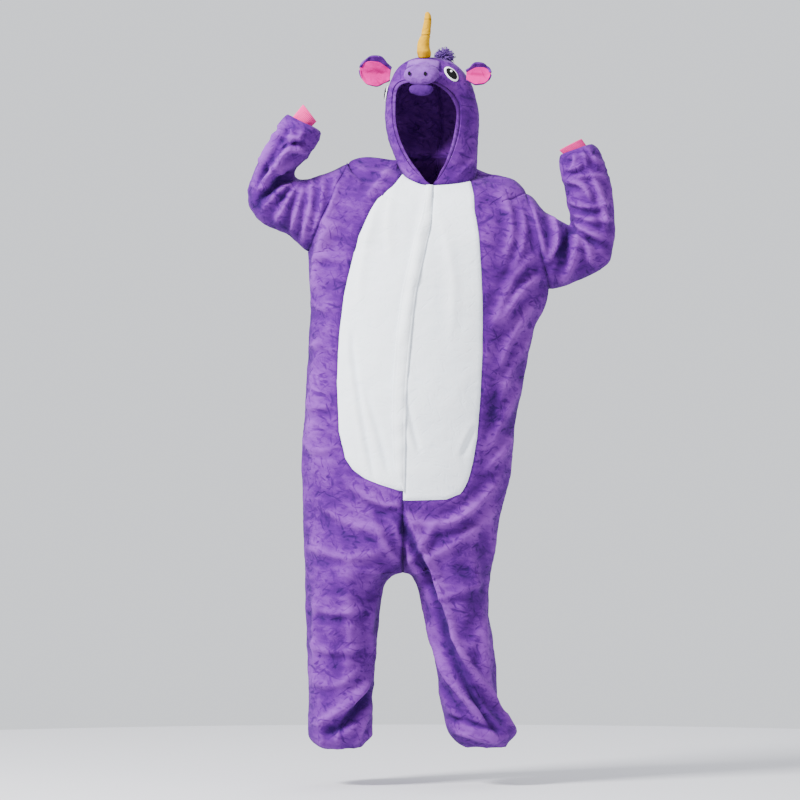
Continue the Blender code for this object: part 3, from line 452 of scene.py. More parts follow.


# %% [markdown]
# ## Folds
# Heavy soft cloth makes long round folds that start at a point of strain, such as the crook of a
# raised arm, the armpit or the crotch, and die away. Simulated cloth would put them in other places
# than on this garment, so each is placed one by one: a soft ridge or trough along a bent line,
# crisper on one side, fading at both ends. Between them the pile is never flat, so a few dozen long
# waves in all directions add an uneven small relief.

# %% the table of folds
# Each line bends from its first point (a) past its middle (b) to its last (c), as seen from the
# front. reach is half the fold's width, and rise its height, negative for a trough.
FOLDS = table(
    "x_a z_a x_b z_b x_c z_c reach rise",
    # the right sleeve
    (-307, -12, -340, -28, -389, -78, 12.8, -10.8),
    (-345, 24, -314, 42, -278, 38, 10.4, 7.2),
    (-278, 52, -314, 57, -349, 28, 7.2, -7.2),
    (-328, 125, -363, 57, -392, -19, 8, 8.4),
    (-304, 76, -345, 14, -382, -33, 7.2, 8.4),
    (-321, 90, -361, 24, -396, -47, 6.4, -6),
    (-300, -28, -352, -59, -385, -99, 9.6, 8.4),
    (-295, -33, -328, -83, -352, -127, 8.8, 8.4),
    (-286, -38, -300, -94, -316, -151, 9.6, 8.4),
    (-267, -35, -271, -99, -288, -172, 11.2, 8.4),
    (-243, -28, -243, -83, -267, -165, 9.6, 7.2),
    (-210, -19, -215, -71, -243, -132, 10.4, 6),
    (-385, 24, -354, -5, -314, -14, 7.2, 4.8),
    (-404, -35, -385, -47, -354, -38, 6.4, 4.8),
    (-371, 71, -330, 76, -295, 66, 7.2, 4.8),
    (-349, 104, -319, 90, -276, 80, 6.4, 3.6),
    (-323, 113, -337, 90, -342, 66, 5.5, 3.6),
    (-304, 99, -316, 76, -319, 57, 5.5, 3.6),
    (-288, 85, -297, 66, -297, 47, 5.5, 3.6),
    # the left sleeve
    (340, -132, 366, -156, 404, -179, 9.6, -9.6),
    (335, -137, 326, -170, 286, -236, 8, -8.4),
    (354, -142, 352, -194, 323, -264, 11.2, 9.6),
    (349, -137, 380, -179, 387, -222, 9.6, 8.4),
    (349, -123, 394, -156, 437, -165, 9.6, 7.2),
    (345, -104, 389, -120, 444, -118, 8.8, 6),
    (328, 0, 352, 0, 371, 17, 6.4, 4.8),
    (328, -31, 366, -40, 389, -76, 8, 7.2),
    (333, -71, 378, -90, 430, -80, 8.8, 6),
    (354, 28, 389, 24, 418, 5, 6.4, 3.6),
    (347, -24, 389, -17, 430, -28, 7.2, 4.8),
    (290, -104, 307, -160, 290, -227, 8.8, 8.4),
    (321, -123, 323, -179, 309, -241, 7.2, -3.6),
    (389, -14, 413, -76, 422, -146, 8.8, 7.2),
    (248, -85, 264, -142, 283, -208, 9.6, 6),
    (347, 31, 349, 17, 342, -5, 5.5, 3.6),
    (366, 40, 375, 21, 375, 0, 5.5, 3.6),
    (378, 47, 394, 24, 404, 0, 5.5, 3.6),
    # the trunk
    (-267, -217, -236, -208, -201, -217, 10, 4),
    (-271, -307, -243, -330, -212, -321, 11, 4),
    (-274, -425, -248, -413, -215, -430, 10, 4),
    (-281, -543, -253, -562, -215, -548, 11, 4),
    (-286, -637, -253, -661, -205, -651, 11, 4),
    (-224, -123, -248, -194, -267, -288, 16, 7),
    (-243, -378, -264, -543, -257, -708, 22, 6),
    (274, -248, 229, -283, 177, -359, 13, 8),
    (248, -212, 201, -271, 153, -378, 13, 6),
    (262, -307, 212, -378, 172, -477, 14, 7),
    (248, -389, 201, -472, 168, -590, 14, 6),
    (224, -507, 189, -571, 153, -661, 13, 5),
    (205, -614, 177, -666, 139, -713, 12, 5),
    (177, -59, 203, -130, 186, -217, 14, 5),
    (224, -85, 231, -165, 201, -241, 12, 5),
    (-172, 5, -125, -5, -68, -19, 10, 4),
    (-68, 19, -106, -28, -149, -85, 12, 4),
    (-189, -732, -118, -779, -54, -788, 13, 6),
    (-253, -779, -177, -831, -78, -850, 15, 6),
    (-271, -885, -189, -911, -92, -897, 13, 5),
    (-35, -821, 35, -831, 120, -793, 13, 6),
    (182, -708, 106, -798, -2, -854, 14, 6),
    (168, -791, 83, -868, -26, -925, 14, 6),
    (-59, -925, -97, -873, -130, -798, 13, 5),
    (-40, -925, -7, -883, 31, -812, 12, 5),
    (-52, -772, -50, -861, -50, -939, 8, -4),
    # the legs
    (-257, -1307, -182, -1258, -123, -1189, 14, 11),
    (-229, -1331, -168, -1284, -120, -1222, 12, -9),
    (-255, -991, -260, -1086, -255, -1175, 11, 5),
    (-267, -1015, -212, -1043, -130, -1022, 11, 4),
    (-271, -1109, -212, -1133, -125, -1109, 12, 5),
    (-271, -1185, -224, -1213, -153, -1175, 12, 5),
    (-101, -991, -125, -1062, -120, -1145, 11, 5),
    (-189, -956, -177, -1109, -196, -1227, 16, 4),
    (-236, -1357, -243, -1322, -234, -1289, 7, 4),
    (-201, -1350, -205, -1317, -189, -1289, 7, 4),
    (-158, -1350, -149, -1317, -135, -1289, 7, 4),
    (-50, -802, 21, -944, 71, -1104, 10, 12),
    (-66, -826, 0, -958, 47, -1114, 9, -9),
    (59, -1081, 123, -1197, 215, -1312, 9, 14),
    (45, -1112, 97, -1218, 179, -1331, 9, -10),
    (-17, -975, 33, -1147, 135, -1289, 9, 11),
    (-33, -996, 12, -1166, 106, -1303, 8, -8),
    (54, -1317, 113, -1333, 170, -1345, 8, 5),
    (52, -1289, 106, -1303, 182, -1319, 8, -6),
    (163, -1015, 135, -1109, 158, -1227, 14, 6),
    (101, -909, 130, -1027, 106, -1133, 14, 5),
    (146, -814, 160, -920, 144, -1027, 14, 5),
    (17, -1015, 71, -996, 144, -968, 10, 4),
    # the white belly
    (-172, -389, -158, -519, -120, -727, 8, -7),
    (-146, -507, -111, -614, -87, -713, 9, -5),
    (-45, -538, -28, -614, -14, -661, 7, -5),
    (118, -609, 101, -640, 87, -673, 8, -5),
    (-2, -71, -31, -271, -61, -425, 10, 3),
    (-118, -106, -146, -212, -153, -319, 14, 4),
    (35, -118, 64, -260, 57, -413, 16, 3),
    (-71, -47, -87, -130, -78, -217, 12, 2),
    # the hood
    (-68, 28, -50, 0, -21, -26, 8, 3),
    (120, 52, 106, 14, 71, -19, 8, 3),
    (116, 156, 120, 104, 116, 52, 9, 3),
    (-87, 118, -80, 71, -64, 33, 8, 2),
)


# %% folds as a height on the cloth
FOLD_STRENGTH = 1.45
OF_THE_BELLY = range(86, 94)  # rows of the table whose folds keep their plain height
BACK_SHIFT, BACK_SHARE = (9.0, -14.0), 0.85  # place and height of the hidden side's folds
FOLD_ENDS = 3.2  # reaches from a fold's line to where it is nothing
STEEP_SIDE = 0.62  # width of a fold's lower side, against the other
TROUGH_AWAY, TROUGH_WIDE, TROUGH_DEEP = 1.7, 0.9, 0.35  # beside a fold, in reaches and in its rise


def bent_line(k, shift=(0.0, 0.0)):
    """Points along fold k: a quadratic curve through its middle point."""
    a, b, c = (np.array([FOLDS["x_" + n][k], FOLDS["z_" + n][k]]) + shift for n in "abc")
    u = np.linspace(0, 1, 17)[:, None]
    control = 2 * b - (a + c) / 2
    return (1 - u) ** 2 * a + 2 * u * (1 - u) * control + u * u * c


def fold_height(points, normals, face, shift=(0.0, 0.0), share=1.0):
    """The sum of all folds. Across a fold the height is a bell curve, narrower on its lower side, with
    a shallow trough beside it; along it the height fades to nothing at both ends."""
    flat = points.reshape(-1, 3)[:, [0, 2]]
    facing = np.clip(1.8 * normals.reshape(-1, 3)[:, 1] * face, 0, 1)
    total = np.zeros(len(flat))
    for k in range(len(FOLDS["rise"])):
        line, reach = bent_line(k, shift), FOLDS["reach"][k]
        low, high = line.min(0) - FOLD_ENDS * reach, line.max(0) + FOLD_ENDS * reach
        near = np.flatnonzero(np.all((flat > low) & (flat < high), axis=1) & (facing > 0))
        if not len(near):
            continue
        run = np.diff(line, axis=0)
        place = flat[near, None] - line[None, :-1]
        f = np.clip((place * run).sum(-1) / (run * run).sum(-1), 0, 1)
        off = place - f[..., None] * run
        away = np.linalg.norm(off, axis=-1)
        best = away.argmin(1)
        pick = np.arange(len(near)), best
        cross = run[best, 0] * off[pick][:, 1] - run[best, 1] * off[pick][:, 0]
        signed = away[pick] * np.sign(cross)
        u = (best + f[pick]) / len(run)
        fade = (1 - (2 * u - 1) ** 4) * 0.75 + 0.25
        d = signed / np.where(signed > 0, reach, STEEP_SIDE * reach)
        beside = bell(signed + TROUGH_AWAY * reach, TROUGH_WIDE * reach)
        rise = FOLDS["rise"][k] * (1.0 if k in OF_THE_BELLY else FOLD_STRENGTH)
        total[near] += rise * fade * (bell(d) - TROUGH_DEEP * beside) * facing[near]
    return (total * share).reshape(points.shape[:-1])


def waves(points, seed, count, shortest, longest, squeeze=(1.0, 1.0, 1.0)):
    """A sum of plane waves in random directions, from the shortest to the longest wavelength in mm."""
    rng = np.random.default_rng(seed)
    found = np.zeros(points.shape[:-1])
    for _ in range(count):
        direction = rng.normal(size=3)
        direction /= np.linalg.norm(direction)
        length = np.exp(rng.uniform(np.log(shortest), np.log(longest)))
        found += np.sin(points @ (direction * squeeze) * 2 * np.pi / length + rng.uniform(0, 6.28))
    return found / math.sqrt(count)


def relief(points, normals):
    """Height over the plain form: the folds of both faces, then the uneven small relief."""
    folds = fold_height(points, normals, -1)
    folds += fold_height(points, normals, 1, BACK_SHIFT, BACK_SHARE)
    soft = waves(points, 3, 36, 55, 150, (0.8, 0.8, 1.2))
    creased = 1 - 2 * np.abs(np.tanh(waves(points, 8, 40, 32, 80, (0.7, 0.7, 1.3))))
    return folds, 1.7 * soft + 1.0 * creased


# %% [markdown]
# ## Making a piece of cloth
# A piece is a grid of points on its outer face. Where two pieces are sewn together the pile is
# pulled down into the seam, so the grid dips along those edges. Neighbours share the direction of
# their thickness, so that the seam stays closed. The second face lies one wall thickness inside, and
# a strip of faces along the cut edges closes the shell.

# %% grids, seams and shells
WALL, SEAM_GAP = 2.4, 0.3
SEAM_DEPTH, SEAM_REACH = 2.6, 5.0  # of the dip at a seam, and how far it goes on
LEAST_AREA, MOST_AREA = 0.31, 0.999  # of a cut, as shares of its width times its length


def unit(vectors):
    """Vectors with the same directions and a length of one."""
    return vectors / np.maximum(np.linalg.norm(vectors, axis=-1, keepdims=True), 1e-9)


def steps(points, axis=0):
    """Distances between neighbouring points along one axis of a grid."""
    return np.linalg.norm(np.diff(points, axis=axis), axis=-1)


def grid_cells(rows, columns, ring=False, flip=False):
    """The four corners of each cell of a grid, as indices into its flat list of points."""
    index = np.arange(rows * columns).reshape(rows, columns)
    if ring:
        index = np.concatenate([index, index[:, :1]], 1)
    corners = [index[:-1, :-1], index[:-1, 1:], index[1:, 1:], index[1:, :-1]]
    cells = np.stack(corners, -1).reshape(-1, 4)
    return cells[:, ::-1] if flip else cells


def shared_normals(grids):
    """Outward directions of all grids together, the same for both pieces at a seam."""
    points = np.concatenate([g["points"].reshape(-1, 3) for g in grids])
    merged = np.unique(np.round(points, 2), axis=0, return_inverse=True)[1].reshape(-1)
    total = np.zeros((merged.max() + 1, 3))
    start = 0
    for g in grids:
        rows, columns = g["points"].shape[:2]
        cells = grid_cells(rows, columns, g["ring"], g["flip"])
        a, b, c, d = (g["points"].reshape(-1, 3)[cells[:, k]] for k in range(4))
        push = np.cross(c - a, d - b)
        for axis in range(3):
            for k in range(4):
                at = merged[start + cells[:, k]]
                total[:, axis] += np.bincount(at, push[:, axis], len(total))
        start += rows * columns
    ends = np.cumsum([g["points"][..., 0].size for g in grids])[:-1]
    parts = np.split(unit(total)[merged], ends)
    return [part.reshape(g["points"].shape) for g, part in zip(grids, parts)]


def edge_distance(points, edges):
    """Distance along the cloth, in mm, to the nearest of the named edges of a grid."""
    across = np.pad(np.cumsum(steps(points, 1), 1), ((0, 0), (1, 0)))
    upwards = np.pad(np.cumsum(steps(points), 0), ((1, 0), (0, 0)))
    found = {"first": across, "last": across[:, -1:] - across}
    found.update(bottom=upwards, top=upwards[-1:] - upwards)
    return np.minimum.reduce([found[name] for name in edges])


def border_distance(points, border):
    """Distance in mm from each grid point to the nearest point of a seam that crosses the grid."""
    return np.array([np.linalg.norm(row[:, None] - border, axis=-1).min(1) for row in points])


def drawn_back(points, ring):
    """Moves each open edge half the seam gap into its own piece."""
    moved = points.copy()
    for edge, inside in ((0, 1), (-1, -2)):
        moved[edge] += unit(points[inside] - points[edge]) * SEAM_GAP / 2
        if not ring:
            moved[:, edge] += unit(points[:, inside] - points[:, edge]) * SEAM_GAP / 2
    return moved


def add_mesh(name, points, faces, finish, crest):
    """A mesh object from points in millimetres, smooth, with its finish and its attribute of painted
    light and tone.
    """
    mesh = bpy.data.meshes.new(name)
    mesh.from_pydata((points * MM).tolist(), [], faces)
    mesh.update()
    mesh.shade_smooth()
    mesh.materials.append(finish)
    values = crest.ravel().astype(np.float32)
    mesh.attributes.new("crest", "FLOAT", "POINT").data.foreach_set("value", values)
    made = bpy.data.objects.new(name, mesh)
    bpy.context.scene.collection.objects.link(made)
    return made


def shell(name, g, normals, finish, wall=WALL):
    """Closes a grid into a thin shell: outer face, inner face, and the cut edges between them."""
    outer = drawn_back(g["points"], g["ring"])
    # Only the outer face is drawn back at a seam: the inner faces meet, so no light comes through.
    inner = g["points"] - normals * np.asarray(wall)[..., None]
    rows, columns = outer.shape[:2]
    count = rows * columns
    cells = grid_cells(rows, columns, g["ring"], g["flip"])
    index = np.arange(count).reshape(rows, columns)
    if g["ring"]:
        lines = [np.append(index[0], index[0, 0]), np.append(index[-1, ::-1], index[-1, -1])]
    else:
        lines = [np.concatenate([index[0], index[1:, -1], index[-1, -2::-1], index[-2::-1, 0]])]
    rims = []
    for line in lines:
        line = line[::-1] if g["flip"] else line
        rims.append(np.stack([line[1:], line[:-1], line[:-1] + count, line[1:] + count], -1))
    faces = np.concatenate([cells, count + cells[:, ::-1]] + rims)
    points = np.concatenate([outer.reshape(-1, 3), inner.reshape(-1, 3)])
    return add_mesh(name, points, faces.tolist(), finish, np.tile(g["crest"].ravel(), 2))


def cut_size(points, ring=False):
    """Width, length and area of the flat cut, in metres, measured on the piece before it is creased."""
    closed = np.concatenate([points, points[:, :1]], 1) if ring else points
    a, b, c, d = closed[:-1, :-1], closed[:-1, 1:], closed[1:, 1:], closed[1:, :-1]
    area = np.linalg.norm(np.cross(c - a, d - b), axis=-1).sum() / 2
    return steps(closed, 1).sum(1).max() * MM, steps(closed).sum(0).max() * MM, area * MM * MM


def finished(piece, node):
    """Hangs a finished piece under the root and hides the solid it stands for."""
    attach(piece, "root")
    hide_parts(node)


def sewn_piece(piece, node, cut):
    """Hangs a finished piece of cloth under the root, hides its solid and prints the size of its flat
    cut.
    """
    finished(piece, node)
    width, length, area = cut
    area = min(max(area, LEAST_AREA * width * length), MOST_AREA * width * length)
    print(piece.name, round(width, 3), "x", round(length, 3), "m, area", round(area, 4))

# %% [markdown]
# ## Plush flannel
# The base knit hardly shows. What shows is the pile: it has a silvery sheen at grazing angles, and
# it lies in short streaks a few centimetres long. The streaks are stretched noise at that scale and a
# finer noise breaks them up. Over them goes painted light from the form: the folds' own height paints
# the crests lighter and the hollows darker, as painted highlight and painted shade. The fibres
# themselves, a tenth of a millimetre across, are too fine to see, so they are drawn as tufts of about
# a millimetre.

# %% plush, rib, felt and pile
# The dark marks of pressed pile: their tilt, their length, depth and height in metres, and a seed.
DASHES = (
    (0.3, (0.036, 0.03, 0.011), 1.7),
    (-0.65, (0.034, 0.03, 0.011), 5.2),
    (1.2, (0.032, 0.03, 0.012), 9.1),
)
STREAK = (0.25, (0.040, 0.040, 0.014), 0.0)  # the same of the longer streaks
PATCHES, FIBRES = 11.0, 620.0  # to a metre
DARK_AT, MIDDLE_AT, LIGHT_AT = 0.12, 0.48, 0.90


def plush(name, slot, dark, middle, light, sheen_tint, streaks, light_and_tone_weight, relief_mm, sheen):
    """Brushed pile: a colour from dark to light at 0.4 + streaks (streak + 0.9 patch - 0.55 dashes
    - 0.95) + 0.3 fibre + light_and_tone_weight x crest, with the noises each from 0 to 1,
    and a sheen. crest is mostly painted light: crests lighter, hollows and seams darker."""
    made, tree, shader = new_material(name)
    place = add_node(tree, "ShaderNodeTexCoord").outputs["Object"]

    def stretched(turn, size, seed):
        """Coordinates in which a mark of this length, depth and height in metres is one unit long."""
        inputs = {"Vector": place, "Location": (seed, 2 * seed, 0)}
        inputs.update(Rotation=(0, turn, 0), Scale=size)
        return add_node(tree, "ShaderNodeMapping", inputs, vector_type="TEXTURE").outputs["Vector"]

    def noise(**inputs):
        return add_node(tree, "ShaderNodeTexNoise", inputs).outputs["Fac"]

    def summed(start, *terms):
        """A start and each value times its weight, added up."""
        for value, weight in terms:
            inputs = {0: value, 1: weight, 2: start}
            start = add_node(tree, "ShaderNodeMath", inputs, operation="MULTIPLY_ADD").outputs[0]
        return start

    streak = noise(Vector=stretched(*STREAK), Scale=1.0, Detail=4.0, Roughness=0.6)
    patch = noise(Vector=place, Scale=PATCHES, Detail=3.0, Roughness=0.55)
    fibre = noise(Vector=place, Scale=FIBRES, Detail=3.0, Roughness=0.7)
    crest = add_node(tree, "ShaderNodeAttribute", attribute_name="crest").outputs["Fac"]
    dashes = 0.0
    for mark in DASHES:
        # Short soft marks, where a stretched noise is high.
        ends = {"Value": noise(Vector=stretched(*mark), Scale=1.0, Detail=1.5, Distortion=0.9)}
        ends.update({"From Min": 0.55, "From Max": 0.80})
        high = add_node(tree, "ShaderNodeMapRange", ends, interpolation_type="SMOOTHSTEP")
        both = {0: dashes, 1: high.outputs["Result"]}
        dashes = add_node(tree, "ShaderNodeMath", both, operation="MAXIMUM").outputs[0]

    marks = ((streak, streaks), (dashes, -0.55 * streaks), (patch, 0.9 * streaks), (fibre, 0.30))
    share = summed(0.40 - 0.95 * streaks, *marks, (crest, light_and_tone_weight))
    ramp = add_node(tree, "ShaderNodeValToRGB", {"Fac": share})
    for stop, (at, colour) in enumerate(((DARK_AT, dark), (LIGHT_AT, light))):
        ramp.color_ramp.elements[stop].position = at
        ramp.color_ramp.elements[stop].color = linear(colour)
    ramp.color_ramp.elements.new(MIDDLE_AT).color = linear(middle)
    height = summed(0.0, (streak, 1.1), (dashes, -1.3), (fibre, 0.55))
    raised = {"Height": height, "Strength": 0.75, "Distance": relief_mm * MM}
    bump = add_node(tree, "ShaderNodeBump", raised)
    tree.links.new(ramp.outputs["Color"], shader.inputs["Base Color"])
    tree.links.new(bump.outputs["Normal"], shader.inputs["Normal"])
    shader.inputs["Roughness"].default_value = 0.92
    shader.inputs["Specular IOR Level"].default_value = 0.15
    shader.inputs["Sheen Weight"].default_value = sheen
    shader.inputs["Sheen Roughness"].default_value = 0.38
    shader.inputs["Sheen Tint"].default_value = linear(sheen_tint)
    return made


# Name and slot; dark, middle and light tone and the sheen's tint; then how much the streaks and the
# painted light and tone attribute show, the relief in mm and the sheen.
VIOLET, LAVENDER, VIOLET_IN_SHADE, WHITE, PINK, GOLD, PINK_RIB, BLACK_FELT, WHITE_FELT, PILE = (
    plush(*words.split(), *numbers)
    for words, *numbers in (
        ("violet_plush_flannel purple_plush #2a0850 #4f1376 #7f3ba4 #a57ad2", 0.6, 0.2, 1.1, 0.13),
        ("lavender_plush_flannel lilac_plush #481668 #7c44a4 #a06cc6 #b488de", 0.4, 0.14, 0.6, 0.08),
        # the violet plush darkened for the jaw, as painted shade
        ("dusky_violet_plush purple_plush #1c0436 #3c0f60 #5e2888 #7a55a8", 0.35, 0.1, 0.6, 0.08),
        ("white_plush_flannel white_plush #dfe9ff #f2f8ff #ffffff #eef4ff", 0.14, 0.07, 0.5, 0.12),
        ("pink_plush_flannel pink_plush #780046 #c00078 #e8149a #ff50c0", 0.4, 0.16, 0.5, 0.02),
        ("golden_plush gold_plush #7a5200 #c08e00 #e4b600 #ffd800", 0.4, 0.14, 0.4, 0.0),
        ("pink_rib_knit pink_rib #a8105c #dc2082 #f24c9e #ff90c6", 0.2, 0.3, 0.3, 0.03),
        ("black_felt black_felt #060607 #0d0d10 #1c1c22 #404048", 0.3, 0.0, 0.3, 0.03),
        ("white_felt white_felt #dcdce2 #f6f6fa #ffffff #ffffff", 0.3, 0.0, 0.3, 0.03),
        ("mane_long_pile mane_pile #2c1748 #573480 #8563aa #a48cc4", 0.6, 0.25, 0.5, 0.15),
    )
)

# %% [markdown]
# ## Trunk and legs
# Each half front runs in one piece from the shoulder to the ankle, and so does each half back. The
# white half belly is let into the front along a long curved seam. Rows of the grids are about 5 mm
# apart, close enough for every fold, and fronts, backs and bellies use the same rows.

# %% rows and columns
STEP = 5.0


def spread(marks, path, step):
    """Section numbers about one step apart along a path, with every mark among them."""
    found = [np.array(marks[:1], float)]
    for a, b in zip(marks[:-1], marks[1:]):
        length = steps(path(np.linspace(a, b, 60))).sum()
        found.append(np.linspace(a, b, max(int(round(length / step)), 1) + 1)[1:])
    return np.concatenate(found)


BODY_MARKS = (
    *(-14, -12, -11, -10, -8, -6, -4, -2, 0, 1),
    *np.linspace(1.4, 1.45, 9),  # the belly's seam runs nearly level here
    *(1.56, 1.58, 1.7, 2, 3, 4, 5, 6, 7, 8),
)
BODY_ROWS = spread(BODY_MARKS, lambda rows: body("left", "front", rows, 0.6), STEP)
ACROSS = 64
BELLY_ACROSS = 40
TURN_ROWS = BODY_ROWS[(BODY_ROWS >= ARMPIT) & (BODY_ROWS <= TIP)]
print("rows:", len(BODY_ROWS), "of which at the armhole:", len(TURN_ROWS))

# %% the grids of the whole garment
BORDER = {}  # points along the curved seam round the white belly
garment = []


def cut_out(kind, node, side, points, finish, sewn, ring=False, flip=False, held="hung"):
    """Adds one cut piece to the garment: its grid, what it is, and which of its edges are sewn."""
    names = dict(name=kind + "_" + side, node=node + "_" + side, kind=node.split("_")[0], side=side)
    made = dict(points=points, finish=finish, sewn=sewn, ring=ring, flip=flip, held=held)
    garment.append(dict(names, **made, cut=cut_size(points, ring)))


for side in SIDES:
    left = side == "left"
    rows, across = BODY_ROWS[:, None], np.linspace(0, 1, ACROSS)[None, :]
    share = belly_share(side, rows)
    border_rows = np.concatenate([np.linspace(1.38, 1.7, 300), np.linspace(1.7, NECK, 500)])
    BORDER[side] = body(side, "front", border_rows, belly_share(side, border_rows))
    back = body(side, "back", rows, across)
    cut_out("plush_back", "back", side, back, VIOLET, ("first", "last", "top"), flip=left)
    front = body(side, "front", rows, share + (1 - share) * across)
    cut_out("plush_front", "front", side, front, VIOLET, ("first", "last", "top"), flip=not left)
    rows, across = rows[rows[:, 0] > BELLY[side]["row"][0]], np.linspace(0, 1, BELLY_ACROSS)[None, :]
    white = body(side, "front", rows, belly_share(side, rows) * across)
    edges = ("first", "last", "top", "bottom")
    cut_out("white_belly", "belly", side, white, WHITE, edges, flip=not left)
print([g["name"] for g in garment])

# %% [markdown]
# ## Sleeves
# A sleeve is one tube from the armhole over the bent elbow to the wrist, where the cloth turns in
# and is drawn up by the cuff.

# %% sleeve grids
front_turns = armhole_turn(TURN_ROWS)
SLEEVE_TURNS = np.concatenate([front_turns, np.pi - front_turns[-2:0:-1]])
for side in SIDES:
    rows = spread(list(range(CUFF_SEAM_ROW + 1)), lambda rows: sleeve(side, rows, 0 * rows), 4.5)
    tube = sleeve(side, rows[:, None], SLEEVE_TURNS[None, :])
    cut_out("plush_sleeve", "sleeve", side, tube, VIOLET, ("bottom",), ring=True, flip=side == "left")
    print("sleeve_" + side, tube.shape)

# %% [markdown]
# ## Hood
# Two halves meet in a seam over the crown and down the centre back. A lighter strip is turned in
# round the face.

# %% hood and face band grids
# Over the back, the purple front and the white front, in columns that meet theirs.
over_purple = FACE - np.linspace(1, NECK_WHITE, ACROSS)[1:]
over_white = FACE - np.linspace(NECK_WHITE, 0, BELLY_ACROSS)[1:]
HOOD_COLUMNS = np.concatenate([np.linspace(0, 1, ACROSS), over_purple, over_white])
HOOD_ROWS = np.linspace(0, 1, 67)
for side in SIDES:
    left = side == "left"
    half = hood(side, HOOD_COLUMNS[None, :], HOOD_ROWS[:, None])
    cut_out("plush_hood", "hood", side, half, VIOLET, ("first", "bottom", "top"), flip=left)
    t = HOOD_ROWS[1:]
    edge = hood(side, FACE, t)
    onward = unit(edge - hood(side, FACE - 0.03, t))
    inwards = unit(head_place(0.0, 0.0, edge[:, 2]) - edge)
    inwards[-1] = (0, 0, -1)
    width = (BAND_WIDTH * np.minimum(1, t / BAND_WIDENS))[:, None, None]
    turn = np.linspace(0, np.pi / 2, 9)[None, :, None]
    strip = edge[:, None] + onward[:, None] * width * 0.85 * np.sin(turn)
    strip = strip + inwards[:, None] * width / 2 * (1 - np.cos(turn))
    cut_out("face_band", "hood_band", side, strip, LAVENDER, ("first",), flip=left, held="stretched")
print("pieces so far:", len(garment))

# %% creasing and closing every piece of the garment
CALM = {"belly": 0.35, "hood": 0.55}  # the small relief of the smoother pieces, against the others'
CALMEST, CALM_REACH = 0.35, 30.0  # the small relief at every seam, and how far from it that goes on
FOLD_CREST, SMALL_CREST = 6.0, 4.5  # the heights in mm that paint the pile one step lighter on a crest and one step darker in a hollow: painted highlight and painted shade
DARKEST, LIGHTEST = -1.8, 1.5  # limits of the painted highlight and shade that the heights give it
SEAM_SHADE, BAND_SHADE = 0.8, 2.4  # how much darker it is in a seam, and on the shaded face bands
HEM_FROM, HEM_OVER = -13.4, 1.6  # the leg's rows over which its relief sets in above the cuff
WRIST_TO, WRIST_OVER = 0.985, 0.07  # and the shares of the sleeve over which it dies away
for g, normals in zip(garment, shared_normals(garment)):
    folds, small = relief(g["points"], normals)
    to_seam = edge_distance(g["points"], g["sewn"])
    if g["kind"] in ("front", "belly"):
        to_seam = np.minimum(to_seam, border_distance(g["points"], BORDER[g["side"]]))
    seam = bell(to_seam, SEAM_REACH)
    # At a seam both pieces have to move alike, so the small relief is the calmest one's there.
    calm = CALM.get(g["kind"], 1.0)
    small = small * (CALMEST + (calm - CALMEST) * np.clip(to_seam / CALM_REACH, 0, 1))
    low_end = np.ones((len(to_seam), 1))  # 0 where the cloth turns in to a cuff
    if g["kind"] in ("front", "back"):
        low_end = np.clip((BODY_ROWS - HEM_FROM) / HEM_OVER, 0, 1)[:, None]
    if g["kind"] == "sleeve":
        shares = np.linspace(0, 1, len(to_seam))
        low_end = np.clip((WRIST_TO - shares) / WRIST_OVER, 0, 1)[:, None]
    height = (folds + small) * low_end - SEAM_DEPTH * seam * np.clip(low_end + 0.2, 0, 1)
    # Painted light: crests of the folds and of the small relief are painted lighter and their hollows
    # darker, and seams darker still as painted shade.
    g["crest"] = np.clip(folds / FOLD_CREST + small / SMALL_CREST, DARKEST, LIGHTEST)
    g["crest"] -= SEAM_SHADE * seam
    if g["held"] == "stretched":
        g["crest"] -= BAND_SHADE
    g["moved"] = g["points"] + normals * height[..., None]
for g in garment:
    g["points"] = g["moved"]
faces = 0
for g, normals in zip(garment, shared_normals(garment)):
    g["normals"] = normals
    piece = shell(g["name"], g, normals, g["finish"])
    sewn_piece(piece, g["node"], g["cut"])
    faces += len(piece.data.polygons)
print("triangles:", 2 * faces)

# %% [markdown]
# ## Front band
# A doubled band laps over the closed centre front. Its sewn side lies flat, and its free edge is a
# soft rounded roll that throws a thin shadow.

# %% the front band
STITCH_AT, STITCH_WIDTH, ROLL_FROM = 0.16, 0.035, 0.82  # as shares of its width
BAND_LIFT, BAND_WALL = 3.6, 2.2
belly_rows = BODY_ROWS[BODY_ROWS > BELLY["right"]["row"][0]]
at_row = np.arange(len(belly_rows))[:, None]
reaches = {
    "right": np.linspace(BAND_REACHES["right"], 0, 15)[:-1],
    "left": np.linspace(0, BAND_REACHES["left"], 5),
}
found = {"points": [], "normals": []}
for g in garment:
    if g["kind"] != "belly":
        continue
    at = reaches[g["side"]][None, :] * (BELLY_ACROSS - 1) + 0 * at_row
    low = np.clip(np.floor(at).astype(int), 0, BELLY_ACROSS - 2)
    f = (at - low)[..., None]
    for name, strips in found.items():
        values = g[name][-len(belly_rows) :]
        strips.append(values[at_row, low] * (1 - f) + values[at_row, low + 1] * f)
points = np.concatenate(found["points"], 1)
normals = unit(np.concatenate(found["normals"], 1))
f = np.linspace(0, 1, points.shape[1])[None, :]
# The seam dip of the halves is filled up under the band, and the free edge is rolled.
stitch = bell(f - STITCH_AT, STITCH_WIDTH)
roll = np.clip((f - ROLL_FROM) / (1 - ROLL_FROM), 0, 1) ** 2
lift = BAND_LIFT + 2.4 * np.sin(np.pi * f) ** 0.7 + 1.2 * f - 1.6 * roll
lift = lift + 0.9 * waves(points, 21, 14, 40, 110) - 0.9 * stitch
